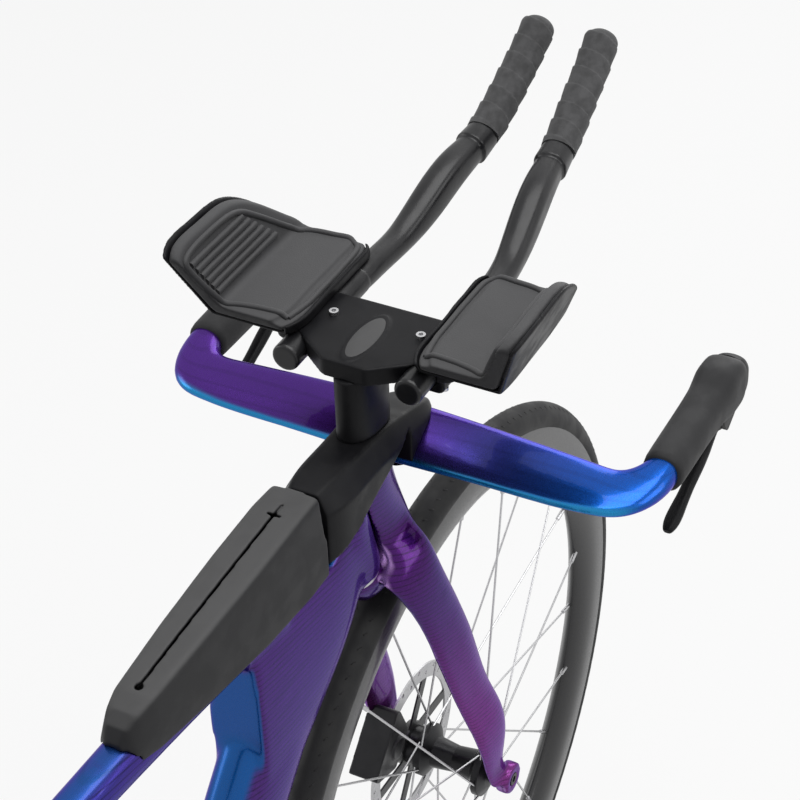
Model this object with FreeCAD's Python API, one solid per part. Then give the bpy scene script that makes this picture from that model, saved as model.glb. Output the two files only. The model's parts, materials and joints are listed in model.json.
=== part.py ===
import FreeCAD, Part
import math
import os

# Time trial bicycle, one solid per piece, millimetres.
# Frame of reference: +X forward, +Y left, +Z up, origin on the ground midway between the axles.
# Places on the front half are given from the front axle, in the wheel's plane.

# Wheels and layout
WHEELBASE = 995.0
TYRE_RADIUS = 336.0
TYRE_WIDTH = 26.0
TYRE_WALL = 2.2
RIM_DEPTH = 46.0
RIM_WIDTH = 27.0
RIM_HOOK = 1.8
SPOKES = 24
SPOKE_RADIUS = 1.0
FRONT_HUB_WIDTH = 100.0
REAR_HUB_WIDTH = 142.0
AXLE_RADIUS = 6.0
RUNNING_FIT = 0.06
SEAT_GAP = 0.3
FRONT_ROTOR_RADIUS = 80.0
REAR_ROTOR_RADIUS = 70.0
ROTOR_THICKNESS = 1.8
ROTOR_INSET = 10.0

# Steering
HEAD_ANGLE = 72.0
FORK_RAKE = 43.0
STEERER_RADIUS = 14.3
HEAD_TUBE_RADIUS = 24.0
BEARING_RADIUS = 20.5
HEAD_TOP_Z = 768.0
HEAD_BOTTOM_Z = 692.0
CROWN_TOP_Z = 686.0
BEARING_HEIGHT = 7.0
TURN_GAP = 1.2

# Frame
BB_DROP = 75.0
CHAINSTAY = 405.0
BB_SHELL_RADIUS = 25.0
BB_SHELL_WIDTH = 86.0
BB_CUP_RADIUS = 21.0
SPINDLE_RADIUS = 12.0
SEAT_ANGLE = 78.0
SEATPOST_CHORD = 46.0
SEATPOST_WIDTH = 17.0
SADDLE_TOP_Z = 990.0
TYRE_CLEARANCE = 8.0

# Drive
CHAIN_PITCH = 12.7
CHAIN_LINE = 45.0
CHAINRING_TEETH = 52
COG_TEETH = (11, 12, 13, 14, 15, 16, 17, 19, 21, 24, 28)
CHAINED_COG = 5
COG_PITCH = 3.85
PULLEY_TEETH = 12
CRANK_LENGTH = 170.0
PEDAL_HOLE_RADIUS = 7.14
ROLLER_RADIUS = 3.85

# Cockpit, from the front axle
BAR_CHORD = 58.0
BAR_THICKNESS = 20.0
BAR_Z = 765.0
BAR_X = -75.0
HORN_Y = 200.0
EXTENSION_RADIUS = 11.1
EXTENSION_Y = 50.0
EXTENSION_Z = 874.0
BRIDGE_TOP_Z = 886.0
BRIDGE_BOTTOM_Z = 871.0
CUP_WALL = 3.0
PAD_THICKNESS = 10.0
RISER_WIDTH = 30.0

FRONT_X = WHEELBASE / 2.0
REAR_X = -WHEELBASE / 2.0
AXLE_Z = TYRE_RADIUS
BB_Z = AXLE_Z - BB_DROP
BB_X = REAR_X + math.sqrt(CHAINSTAY ** 2 - BB_DROP ** 2)
TAU = 2.0 * math.pi
X_AXIS = FreeCAD.Vector(1, 0, 0)
Y_AXIS = FreeCAD.Vector(0, 1, 0)
Z_AXIS = FreeCAD.Vector(0, 0, 1)
LEAN = math.radians(90.0 - HEAD_ANGLE)
STEER_DIR = FreeCAD.Vector(-math.sin(LEAN), 0, math.cos(LEAN))


def vec(x, y, z):
    """A point in the bicycle's frame."""
    return FreeCAD.Vector(x, y, z)


def front(x, y, z):
    """A point whose x is counted from the front axle."""
    return FreeCAD.Vector(FRONT_X + x, y, z)


def steer_point(z):
    """The point of the steering axis at a height."""
    return front(-FORK_RAKE / math.cos(LEAN) - (z - AXLE_Z) * math.tan(LEAN), 0, z)


def cylinder(radius, height, base, axis=Z_AXIS):
    """A round bar from a base point along an axis."""
    return Part.makeCylinder(radius, height, base, axis)


def tube(outer, inner, height, base, axis=Z_AXIS):
    """A round bar with a through bore."""
    bar = Part.makeCylinder(outer, height, base, axis)
    return bar.cut(Part.makeCylinder(inner, height, base, axis))


def rod(a, b, radius):
    """A round bar between two points."""
    return Part.makeCylinder(radius, (b - a).Length, a, b - a)


def mirrored(shape):
    """The same shape on the other side of the wheel plane."""
    return shape.mirror(vec(0, 0, 0), Y_AXIS)


def closed_spline(points):
    """A smooth closed wire through points."""
    curve = Part.BSplineCurve()
    curve.interpolate(Points=points, PeriodicFlag=True)
    return Part.Wire([curve.toShape()])


def oval(centre, across, along, half_width, half_length, power=2.4, count=16, taper=0.0):
    """A superellipse section about a centre in the plane of two directions, slimmer behind by the taper."""
    points = []
    for i in range(count):
        turn = TAU * (i + 0.5) / count
        c = math.cos(turn)
        s = math.sin(turn)
        u = math.copysign(abs(c) ** (2.0 / power), c) * half_width
        v = math.copysign(abs(s) ** (2.0 / power), s) * half_length * (1.0 + taper * c)
        points.append(centre + across * u + along * v)
    return closed_spline(points)


def foil(nose, tail, across, half_width, fullness=0.62):
    """A teardrop section from a round nose to a slim blunt tail."""
    chord = tail - nose
    stations = ((0.0, 0.0), (0.03, 0.42), (0.14, 0.78), (0.34, 1.0), (0.6, 0.84), (0.84, fullness), (0.97, 0.34))
    points = [nose]
    for t, w in stations[1:]:
        points.append(nose + chord * t + across * (half_width * w))
    points.append(tail)
    for t, w in reversed(stations[1:]):
        points.append(nose + chord * t - across * (half_width * w))
    return closed_spline(points)


def loft(wires):
    """A smooth solid through sections."""
    return Part.makeLoft(wires, True, False)


def ruled(wires):
    """A solid with straight rulings between sections."""
    return Part.makeLoft(wires, True, True)


def revolved(profile, base, axis, radial):
    """A full turn of a closed outline given as (radius, distance along the axis)."""
    points = [base + radial * r + axis * d for r, d in profile]
    face = Part.Face(Part.makePolygon(points + points[:1]))
    return face.revolve(base, axis, 360)


def rounded_outline(points, radius):
    """A closed flat wire through corner points, each corner an arc."""
    edges = []
    count = len(points)
    joints = []
    for i in range(count):
        corner = points[i]
        to_last = (points[i - 1] - corner)
        to_next = (points[(i + 1) % count] - corner)
        half = to_last.getAngle(to_next) / 2.0
        reach = min(radius / math.tan(half), 0.48 * min(to_last.Length, to_next.Length))
        to_last.normalize()
        to_next.normalize()
        bisector = to_last + to_next
        bisector.normalize()
        r = reach * math.tan(half)
        middle = corner + bisector * (r / math.sin(half) - r)
        joints.append((corner + to_last * reach, middle, corner + to_next * reach))
    for i in range(count):
        start, middle, end = joints[i]
        edges.append(Part.Arc(start, middle, end).toShape())
        following = joints[(i + 1) % count][0]
        if (following - end).Length > 1e-6:
            edges.append(Part.LineSegment(end, following).toShape())
    return Part.Wire(edges)


def plate(points, radius, thickness):
    """A flat plate with rounded corners, extruded along a vector."""
    return Part.Face(rounded_outline(points, radius)).extrude(thickness)


def halfspace(point, normal, size=2400.0):
    """A large block that fills one side of a plane."""
    block = Part.makeBox(size, size, size, vec(-size / 2, -size / 2, 0))
    turn = FreeCAD.Rotation(Z_AXIS, normal)
    block.Placement = FreeCAD.Placement(point, turn).multiply(block.Placement)
    return block


def largest(shape):
    """The biggest solid of a shape, without the scraps of a cut."""
    return max(shape.Solids, key=lambda s: s.Volume)


def save(node, *solids):
    """Write one node as one solid or a group of separate solids."""
    shape = solids[0] if len(solids) == 1 else Part.makeCompound(list(solids))
    shape.exportStep("parts/%s.step" % node)


# Wheels: tyre, deep rim, spokes, hub and two-piece brake rotor

RIM_OUTER = TYRE_RADIUS - 19.0
RIM_INNER = RIM_OUTER - RIM_DEPTH
BEAD_HALF = RIM_WIDTH / 2.0 - RIM_HOOK
FLANGE_RADIUS = 21.0
HUB_SHELL_RADIUS = 15.0
ROTOR_TRACK = 15.0
CARRIER_RADIUS = 22.0
ROTOR_ARMS = 6
ROTOR_HOLES = 30
REAR_ROTOR_SHIFT = 20.0


def make_tyre(hub):
    """Round tyre casing, open towards the rim."""
    bead = RIM_OUTER - 5.0
    half = TYRE_WIDTH / 2.0
    crown = hub + Z_AXIS * TYRE_RADIUS
    inner_crown = hub + Z_AXIS * (TYRE_RADIUS - TYRE_WALL)
    side = BEAD_HALF
    inner_side = BEAD_HALF - TYRE_WALL
    belly = (TYRE_RADIUS + bead) / 2.0 + 1.0
    left = hub + vec(0, side, bead)
    right = hub + vec(0, -side, bead)
    inner_left = hub + vec(0, inner_side, bead)
    inner_right = hub + vec(0, -inner_side, bead)
    shoulder_left = hub + vec(0, half, belly)
    shoulder_right = hub + vec(0, -half, belly)
    inner_shoulder_left = hub + vec(0, half - TYRE_WALL, belly)
    inner_shoulder_right = hub + vec(0, TYRE_WALL - half, belly)
    outer = Part.BSplineCurve()
    outer.interpolate(Points=[left, shoulder_left, crown, shoulder_right, right])
    inner = Part.BSplineCurve()
    inner.interpolate(Points=[inner_right, inner_shoulder_right, inner_crown, inner_shoulder_left, inner_left])
    edges = [
        outer.toShape(),
        Part.LineSegment(right, inner_right).toShape(),
        inner.toShape(),
        Part.LineSegment(inner_left, left).toShape(),
    ]
    return Part.Face(Part.Wire(edges)).revolve(hub, Y_AXIS, 360)


def make_rim(hub):
    """Deep aero rim with hooked edges and a rounded inner edge."""
    half = RIM_WIDTH / 2.0
    well = BEAD_HALF - TYRE_WALL - 1.5
    corners = [
        (RIM_OUTER - 7.5, well),
        (RIM_OUTER - 5.0, BEAD_HALF),
        (RIM_OUTER, BEAD_HALF),
        (RIM_OUTER, half),
    ]
    left = [hub + vec(0, y, r) for r, y in corners]
    right = [hub + vec(0, -y, r) for r, y in corners]
    flank = Part.BSplineCurve()
    flank.interpolate(Points=[
        left[-1],
        hub + vec(0, half + 0.6, RIM_OUTER - 0.3 * RIM_DEPTH),
        hub + vec(0, half * 0.72, RIM_OUTER - 0.75 * RIM_DEPTH),
        hub + vec(0, 0, RIM_INNER),
        hub + vec(0, -half * 0.72, RIM_OUTER - 0.75 * RIM_DEPTH),
        hub + vec(0, -half - 0.6, RIM_OUTER - 0.3 * RIM_DEPTH),
        right[-1],
    ])
    edges = [flank.toShape()]
    path = list(reversed(right)) + left
    for a, b in zip(path[:-1], path[1:]):
        edges.append(Part.LineSegment(a, b).toShape())
    return Part.Face(Part.Wire(edges)).revolve(hub, Y_AXIS, 360)


def make_valve(hub):
    """Valve stem that leaves the rim's inner edge at its lowest point."""
    return cylinder(2.8, 34.0, hub - Z_AXIS * (RIM_INNER + 3.0), Z_AXIS)


def make_spokes(hub, left_flange, right_flange):
    """Two-cross spokes, leaning forward and back in turn, from each flange to the rim."""
    spokes = []
    sweep = math.radians(62.0)
    for i in range(SPOKES):
        side = 1.0 if i % 2 == 0 else -1.0
        flange = left_flange if side > 0 else right_flange
        pair = (i // 2) % 2
        rim_turn = TAU * (i + 0.5) / SPOKES
        hub_turn = rim_turn + (sweep if pair else -sweep)
        offset = 1.6 if pair else -1.6
        start = hub + vec(FLANGE_RADIUS * math.sin(hub_turn), flange + offset, FLANGE_RADIUS * math.cos(hub_turn))
        reach = RIM_INNER + 3.0
        end = hub + vec(reach * math.sin(rim_turn), side * 2.5, reach * math.cos(rim_turn))
        spoke = rod(start, end, SPOKE_RADIUS)
        nipple_base = end + (start - end) * (15.0 / (start - end).Length)
        spokes.append(spoke.fuse(rod(nipple_base, end, 2.0)).removeSplitter())
    return spokes


def make_hub(hub, left_end, right_end, left_flange, right_flange, rotor_seat):
    """Waisted hub shell with two flanges, end caps and a rotor seat, bored for the axle."""
    bore = AXLE_RADIUS + RUNNING_FIT
    flange = FLANGE_RADIUS + 4.0
    profile = [
        (bore, right_end), (10.0, right_end), (10.0, right_flange - 8.0),
        (HUB_SHELL_RADIUS, right_flange - 7.0), (flange, right_flange - 3.2), (flange, right_flange + 3.2),
        (HUB_SHELL_RADIUS, right_flange + 9.0), (HUB_SHELL_RADIUS - 2.5, (left_flange + right_flange) / 2.0),
        (HUB_SHELL_RADIUS, left_flange - 9.0), (flange, left_flange - 3.2), (flange, left_flange + 3.2),
        (CARRIER_RADIUS - 4.0, left_flange + 4.5), (CARRIER_RADIUS - 4.0, rotor_seat + 5.0),
        (10.0, rotor_seat + 5.5), (10.0, left_end), (bore, left_end),
    ]
    return revolved(profile, hub, Y_AXIS, Z_AXIS)


def make_rotor(hub, radius, seat):
    """Braking ring with rows of holes, joined by curved arms to a carrier and lock ring."""
    base = hub + Y_AXIS * seat
    ring = tube(radius, radius - ROTOR_TRACK, ROTOR_THICKNESS, base, Y_AXIS)
    holes = []
    for i in range(ROTOR_HOLES):
        turn = TAU * i / ROTOR_HOLES
        reach = radius - ROTOR_TRACK * (0.26 if i % 2 else 0.6)
        spot = base + vec(reach * math.sin(turn), -1.0, reach * math.cos(turn))
        holes.append(cylinder(1.9, ROTOR_THICKNESS + 2.0, spot, Y_AXIS))
    ring = ring.cut(Part.makeCompound(holes))
    inner = radius - ROTOR_TRACK
    arms = []
    for i in range(ROTOR_ARMS):
        turn = TAU * i / ROTOR_ARMS
        swept = turn + math.radians(24.0)
        outer_turn = math.asin(4.5 / inner)
        root_turn = math.asin(6.5 / CARRIER_RADIUS)
        corners = []
        for r, t in (
            (CARRIER_RADIUS - 1.0, turn - root_turn), (inner + 2.0, swept - outer_turn),
            (inner + 2.0, swept + outer_turn), (CARRIER_RADIUS - 1.0, turn + root_turn),
        ):
            corners.append(base + vec(r * math.sin(t), 0, r * math.cos(t)))
        face = Part.Face(Part.makePolygon(corners + corners[:1]))
        arms.append(face.extrude(Y_AXIS * ROTOR_THICKNESS))
    carrier = tube(CARRIER_RADIUS, CARRIER_RADIUS - 4.0, ROTOR_THICKNESS, base, Y_AXIS)
    spider = carrier.multiFuse(arms).cut(cylinder(radius, ROTOR_THICKNESS, base, Y_AXIS).cut(
        cylinder(inner, ROTOR_THICKNESS, base, Y_AXIS))).removeSplitter()
    lock = tube(CARRIER_RADIUS - 1.0, 10.6, 2.4, base + Y_AXIS * 5.6, Y_AXIS)
    collar = tube(CARRIER_RADIUS - 1.0, CARRIER_RADIUS - 4.0, 5.6 - ROTOR_THICKNESS, base + Y_AXIS * ROTOR_THICKNESS, Y_AXIS)
    return ring, spider, lock.fuse(collar).removeSplitter()


def build_wheel(name, x, hub_width, left_flange, right_flange, rotor_radius, end_gap):
    """Save all pieces of one wheel."""
    hub = vec(x, 0, AXLE_Z)
    half = hub_width / 2.0 - end_gap
    seat = hub_width / 2.0 - ROTOR_INSET - (0.0 if name == "front" else REAR_ROTOR_SHIFT)
    right_end = -half if name == "front" else right_flange - 8.6
    rim = make_rim(hub)
    valve = make_valve(hub)
    save(name + "_tyre", largest(make_tyre(hub).cut(rim)))
    save(name + "_rim", rim.cut(valve), valve)
    save(name + "_spokes", *make_spokes(hub, left_flange, right_flange))
    save(name + "_hub", make_hub(hub, half, right_end, left_flange, right_flange, seat))
    save(name + "_rotor", *make_rotor(hub, rotor_radius, seat))


# Fork: two aero legs, crown and the blade that runs up in front of the head tube

DROPOUT_RADIUS = 15.0
DROPOUT_THICKNESS = 12.0
STEERER_TOP = HEAD_TOP_Z + 34.0
BLADE_HALF_WIDTH = 21.0
ROTOR_CALIPER_GAP = 0.6
PAD_PLATE = 2.4

# Leg stations: rear edge x and z, front edge x and z, middle y, half width
LEG_STATIONS = (
    (-168.0, 693.0, -108.0, 716.0, 14.0, 12.0),
    (-163.0, 682.0, -104.0, 706.0, 27.0, 12.0),
    (-149.0, 656.0, -98.0, 680.0, 36.0, 11.0),
    (-125.0, 606.0, -78.0, 625.0, 42.0, 9.5),
    (-100.0, 540.0, -54.0, 555.0, 46.5, 8.5),
    (-74.0, 471.0, -30.0, 484.0, 50.0, 7.5),
    (-47.0, 397.0, -7.0, 408.0, 54.0, 6.5),
    (-22.0, 340.0, 12.0, 346.0, 56.0, 6.0),
)
# Crown and blade stations: height on the steering axis, nose and tail from the axis, half width
BLADE_STATIONS = (
    (650.0, 58.0, -4.0, 16.0),
    (672.0, 72.0, -16.0, 24.0),
    (700.0, 74.0, -24.0, 23.0),
    (735.0, 73.0, -24.0, BLADE_HALF_WIDTH),
    (HEAD_TOP_Z + 14.0, 72.0, -24.0, BLADE_HALF_WIDTH),
)


def square_to_steerer(x, y):
    """A direction across the steering axis: x forward, y left."""
    return vec(math.cos(LEAN) * x, y, math.sin(LEAN) * x)


def make_fork():
    """One moulded fork with its steerer, cut to turn round the head tube and to clear the tyre."""
    axle = vec(FRONT_X, 0, AXLE_Z)
    sections = []
    for rear_x, rear_z, front_x, front_z, y, half in LEG_STATIONS:
        sections.append(foil(front(front_x, y, front_z), front(rear_x, y, rear_z), Y_AXIS, half))
    leg = loft(sections)
    boss = cylinder(DROPOUT_RADIUS, DROPOUT_THICKNESS, axle + Y_AXIS * (FRONT_HUB_WIDTH / 2.0), Y_AXIS)
    leg = leg.fuse(boss)
    inside = Part.makeBox(400, FRONT_HUB_WIDTH, 60, front(-200, -FRONT_HUB_WIDTH / 2.0, AXLE_Z - 30))
    leg = leg.cut(inside)
    blade_sections = []
    for z, nose, tail, half in BLADE_STATIONS:
        point = steer_point(z)
        blade_sections.append(foil(
            point + square_to_steerer(nose, 0), point + square_to_steerer(tail, 0), Y_AXIS, half))
    crown = loft(blade_sections)
    crown = crown.cut(halfspace(steer_point(HEAD_TOP_Z), STEER_DIR))
    body = crown.multiFuse([leg, mirrored(leg)])
    turn = FreeCAD.Rotation(Y_AXIS, -math.degrees(LEAN))
    behind = Part.makeBox(260, 260, 200, vec(-248, -130, 0))
    behind.Placement = FreeCAD.Placement(steer_point(CROWN_TOP_Z), turn).multiply(behind.Placement)
    room = cylinder(HEAD_TUBE_RADIUS + TURN_GAP, 200.0, steer_point(CROWN_TOP_Z), STEER_DIR)
    tyre_room = cylinder(
        TYRE_RADIUS + TYRE_CLEARANCE, TYRE_WIDTH + 12.0, axle - Y_AXIS * (TYRE_WIDTH / 2.0 + 6.0), Y_AXIS)
    body = body.cut(behind).cut(room).cut(tyre_room)
    body = body.fuse(rod(steer_point(CROWN_TOP_Z - 12.0), steer_point(STEERER_TOP), STEERER_RADIUS))
    body = body.cut(cylinder(AXLE_RADIUS, 140.0, axle - Y_AXIS * 70.0, Y_AXIS))
    return body


def make_thru_axle(x, hub_width, overhang):
    """Hollow through axle with a flanged head on the left."""
    half = hub_width / 2.0 + overhang
    base = vec(x, -half, AXLE_Z)
    bar = cylinder(AXLE_RADIUS, 2.0 * half, base, Y_AXIS)
    head = cylinder(10.0, 3.0, vec(x, half, AXLE_Z), Y_AXIS)
    return bar.fuse(head).removeSplitter().cut(cylinder(3.0, 2.0 * half + 6.0, base, Y_AXIS))


def make_caliper(hub, rotor_y, rotor_radius, lean):
    """Two-piston brake caliper over the rotor's edge, with a slot for rotor and pads."""
    outward = vec(-math.sin(lean), 0, math.cos(lean))
    along = vec(math.cos(lean), 0, math.sin(lean))
    middle_y = rotor_y + ROTOR_THICKNESS / 2.0
    slot_half = ROTOR_THICKNESS / 2.0 + ROTOR_CALIPER_GAP + PAD_PLATE + 1.2
    base = hub + Y_AXIS * (middle_y - 14.0)
    corners = []
    for r, t in ((rotor_radius - 19.0, -19.0), (rotor_radius - 19.0, 19.0), (rotor_radius + 12.0, 33.0),
                 (rotor_radius + 19.0, 33.0), (rotor_radius + 19.0, -33.0), (rotor_radius + 12.0, -33.0)):
        corners.append(base + outward * r + along * t)
    body = plate(corners, 5.0, Y_AXIS * 28.0)
    slot_base = hub + Y_AXIS * (middle_y - slot_half)
    slot_corners = []
    for r, t in ((rotor_radius - 30.0, -13.5), (rotor_radius - 30.0, 13.5),
                 (rotor_radius + 4.0, 13.5), (rotor_radius + 4.0, -13.5)):
        slot_corners.append(slot_base + outward * r + along * t)
    body = body.cut(plate(slot_corners, 1.0, Y_AXIS * (2.0 * slot_half)))
    room = cylinder(rotor_radius + 3.0, ROTOR_THICKNESS + 2.4,
                    hub + Y_AXIS * (rotor_y - 1.2), Y_AXIS)
    body = body.cut(room)
    for side in (-1.0, 1.0):
        cap = hub + outward * (rotor_radius - 7.0) + Y_AXIS * (middle_y + side * 14.0)
        body = body.fuse(cylinder(11.0, 2.0, cap, Y_AXIS * side))
    return body


def make_brake_pad(hub, rotor_y, rotor_radius, lean, side):
    """One brake pad: lining on a backing plate, on one side of the rotor."""
    outward = vec(-math.sin(lean), 0, math.cos(lean))
    along = vec(math.cos(lean), 0, math.sin(lean))
    face_y = rotor_y + (ROTOR_THICKNESS + ROTOR_CALIPER_GAP if side > 0 else -ROTOR_CALIPER_GAP)
    corners = []
    for r, t in ((rotor_radius - 16.0, -12.5), (rotor_radius - 16.0, 12.5),
                 (rotor_radius + 1.0, 12.5), (rotor_radius + 1.0, -12.5)):
        corners.append(hub + Y_AXIS * face_y + outward * r + along * t)
    return plate(corners, 2.5, Y_AXIS * (side * PAD_PLATE))


# Base bar, stem and brake levers

HORN_STATIONS = (
    # middle x, y, direction of travel in degrees from +Y towards +X, half chord, half thickness
    (BAR_X, 0.0, 0.0, BAR_CHORD / 2.0, BAR_THICKNESS / 2.0 + 1.0),
    (BAR_X, 40.0, 0.0, BAR_CHORD / 2.0, BAR_THICKNESS / 2.0),
    (BAR_X - 1.5, 105.0, 0.0, BAR_CHORD / 2.0 - 1.0, BAR_THICKNESS / 2.0 - 1.0),
    (BAR_X - 2.5, 150.0, 4.0, BAR_CHORD / 2.0 - 2.5, BAR_THICKNESS / 2.0 - 1.0),
    (BAR_X + 0.5, 177.0, 26.0, 24.5, 9.8),
    (BAR_X + 11.0, 190.0, 50.0, 20.0, 11.0),
    (BAR_X + 30.0, 198.5, 74.0, 15.0, 12.6),
    (BAR_X + 52.0, HORN_Y, 90.0, 13.0, 13.4),
)
# Thickness of the wing's tail against its nose
WING_TAPER = 0.34
# Hood stations: x, z, half width, half height
HOOD_STATIONS = (
    (-36.0, 764.5, 14.6, 14.8),
    (0.0, 764.5, 15.0, 16.2),
    (40.0, 764.5, 15.2, 17.6),
    (60.0, 764.5, 15.6, 19.0),
    (72.0, 764.8, 16.6, 22.0),
    (92.0, 763.4, 16.6, 23.0),
    (106.0, 759.0, 15.4, 21.0),
)
HOOD_SQUARENESS = 2.9
LEVER_PIVOT_X = 84.0
LEVER_PIVOT_Z = 731.0
LEVER_PIN_RADIUS = 2.5
LEVER_EAR = 4.0
LEVER_HALF_WIDTH = 5.5


def make_base_bar():
    """Flat aero wing whose ends turn forward into round horns."""
    wires = []
    other_side = [(x, -y, 180.0 - a, c, t) for x, y, a, c, t in reversed(HORN_STATIONS[1:])]
    for x, y, angle, half_chord, half_thick in other_side + list(HORN_STATIONS):
        turn = math.radians(angle)
        side = -1.0 if y < 0 else 1.0
        forward = vec(math.cos(turn), -math.sin(turn), 0) if y >= 0 else vec(-math.cos(turn), math.sin(turn), 0)
        tip = abs(y) / HORN_Y
        level = BAR_Z - (1.0 - tip) * 1.0
        pitch = vec(0, 0, 1.0)
        slant = forward + pitch * (0.16 * (1.0 - tip) if side else 0.0)
        slant.normalize()
        up = vec(0, 0, 1)
        taper = WING_TAPER * max(0.0, 1.0 - tip ** 4)
        wires.append(oval(front(x, y, level), slant, up, half_chord, half_thick, 2.3, 16, taper))
    return loft(wires)


def make_hood(bar):
    """Moulded hood on the left horn, swelling towards the lever."""
    wires = [oval(front(x, HORN_Y, z), Y_AXIS, Z_AXIS, w, h, HOOD_SQUARENESS) for x, z, w, h in HOOD_STATIONS]
    return loft(wires).cut(bar)


def make_lever_body():
    """Nose of the lever in front of the hood, with two ears that carry the lever's pin."""
    x, z, w, h = HOOD_STATIONS[-1]
    wires = [
        oval(front(x, HORN_Y, z), Y_AXIS, Z_AXIS, w, h, HOOD_SQUARENESS),
        oval(front(x + 9.0, HORN_Y, z - 2.0), Y_AXIS, Z_AXIS, w - 1.5, h - 2.0, HOOD_SQUARENESS),
        oval(front(x + 15.0, HORN_Y, z - 4.0), Y_AXIS, Z_AXIS, w - 3.6, h - 5.4, HOOD_SQUARENESS),
    ]
    nose = loft(wires)
    ears = []
    for side in (-1.0, 1.0):
        inner = HORN_Y + side * (LEVER_HALF_WIDTH + SEAT_GAP)
        points = [(x - 34.0, z - 17.0), (x + 4.0, z - 8.0), (x + 4.0, z - 22.0),
                  (LEVER_PIVOT_X, LEVER_PIVOT_Z - 9.0)]
        corners = [front(px, inner, pz) for px, pz in points]
        ears.append(plate(corners, 5.0, Y_AXIS * (side * LEVER_EAR)))
    return nose, ears


def make_lever():
    """Curved brake blade that points back under the hood from its pivot."""
    eye = cylinder(7.0, 2.0 * LEVER_HALF_WIDTH,
                   front(LEVER_PIVOT_X, HORN_Y - LEVER_HALF_WIDTH, LEVER_PIVOT_Z), Y_AXIS)
    stations = (
        (LEVER_PIVOT_X + 2.0, LEVER_PIVOT_Z, 5.5, 6.0),
        (LEVER_PIVOT_X - 22.0, LEVER_PIVOT_Z - 10.0, 5.2, 5.2),
        (LEVER_PIVOT_X - 48.0, LEVER_PIVOT_Z - 21.0, 5.4, 4.8),
        (LEVER_PIVOT_X - 74.0, LEVER_PIVOT_Z - 31.0, 5.8, 4.6),
        (LEVER_PIVOT_X - 96.0, LEVER_PIVOT_Z - 38.0, 5.4, 4.2),
        (LEVER_PIVOT_X - 101.0, LEVER_PIVOT_Z - 39.4, 3.4, 2.8),
    )
    wires = [oval(front(x, HORN_Y, z), Y_AXIS, vec(-0.36, 0, 0.93), w, h, 2.4) for x, z, w, h in stations]
    blade = loft(wires).fuse(eye)
    bore = front(LEVER_PIVOT_X, HORN_Y - 30.0, LEVER_PIVOT_Z)
    return blade.cut(cylinder(LEVER_PIN_RADIUS + RUNNING_FIT, 60.0, bore, Y_AXIS))


def make_lever_pin():
    """Pin through both ears and the lever."""
    half = LEVER_HALF_WIDTH + SEAT_GAP + LEVER_EAR
    return cylinder(LEVER_PIN_RADIUS, 2.0 * half, front(LEVER_PIVOT_X, HORN_Y - half, LEVER_PIVOT_Z), Y_AXIS)


# Stem stations: x, half width of the flat top, half width, lowest z, z of the crease, highest z
STEM_STATIONS = (
    (-226.0, 12.0, 19.0, 752.0, 800.0, 817.0),
    (-208.0, 14.5, 25.0, 744.0, 800.0, 819.0),
    (-168.0, 16.0, 25.5, 744.0, 797.0, 816.0),
    (-125.0, 17.5, 25.0, 752.0, 793.0, 812.0),
    (-94.0, 17.0, 23.0, 760.0, 787.0, 803.0),
    (-58.0, 14.0, 18.0, 763.0, 777.0, 789.0),
    (-46.0, 9.0, 12.0, 766.0, 773.0, 781.0),
)
STEM_CORNER = 4.0
STEM_DROP_X = -103.0
RISER_MIDDLE_X = -134.0
RISER_HALF_CHORD = 29.0
RISER_SPLIT_Z = 850.0
CLAMP_BOTTOM_Z = EXTENSION_Z - EXTENSION_RADIUS - 4.0
CLAMP_REAR_X = -131.0
CLAMP_FRONT_X = -86.0
BRIDGE_CORNERS = (
    (-160.0, -18.0), (-136.0, -50.0), (CLAMP_REAR_X, -74.0), (CLAMP_FRONT_X, -74.0), (-80.0, -44.0),
    (-80.0, 44.0), (CLAMP_FRONT_X, 74.0), (CLAMP_REAR_X, 74.0), (-136.0, 50.0), (-160.0, 18.0),
)
EXTENSION_REAR_X = -153.0
EXTENSION_BEND_X = -50.0
FERRULE = 5.0
FERRULE_STEP = 1.0
# Extension stations past the clamp: x, y, z, half width, half height, squareness
EXTENSION_STATIONS = (
    (EXTENSION_BEND_X, EXTENSION_Y, EXTENSION_Z,
     EXTENSION_RADIUS - FERRULE_STEP, EXTENSION_RADIUS - FERRULE_STEP, 2.0),
    (-36.0, 49.7, 873.8, EXTENSION_RADIUS - 0.3, EXTENSION_RADIUS - 0.3, 2.0),
    (-14.0, 48.9, 873.8, EXTENSION_RADIUS, EXTENSION_RADIUS, 2.0),
    (16.0, 46.6, 874.8, EXTENSION_RADIUS, 11.4, 2.2),
    (40.0, 44.0, 880.5, 11.8, 13.2, 2.6),
    (66.0, 41.0, 890.0, 12.4, 14.6, 2.9),
    (96.0, 37.6, 899.5, 12.2, 14.4, 2.8),
    (122.0, 34.8, 903.2, 11.6, 12.6, 2.4),
    (142.0, 33.2, 907.0, 11.3, 11.8, 2.0),
    (166.0, 31.7, 917.2, 11.0, 11.2, 2.0),
    (192.0, 30.4, 930.8, 10.9, 11.0, 2.0),
    (216.0, 29.4, 943.8, 10.7, 10.7, 2.0),
    (238.0, 28.3, 958.5, 10.3, 10.3, 2.0),
)
GRIP_START = 8
COLLAR_THICKNESS = 2.2
GRIP_OVERLAPS = 6
TAPE_THICKNESS = 3.0
TAPE_LAP = 1.1
# Armrest stations: x at the base, inner y, outer y, wing top y, wing top z
ARMREST_STATIONS = (
    (-146.0, 52.0, 118.0, 140.0, 944.0),
    (-136.0, 47.0, 119.5, 143.0, 949.0),
    (-100.0, 45.5, 120.0, 144.0, 951.0),
    (-66.0, 45.0, 120.0, 143.0, 949.0),
    (-44.0, 45.0, 119.0, 139.0, 936.0),
    (-28.0, 46.0, 117.0, 130.0, 915.0),
    (-22.0, 50.0, 114.0, 124.0, 906.0),
)
ARMREST_SHEAR = 0.42
LIP_HEIGHT = 10.0
ARMREST_CORNER = 9.0


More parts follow.
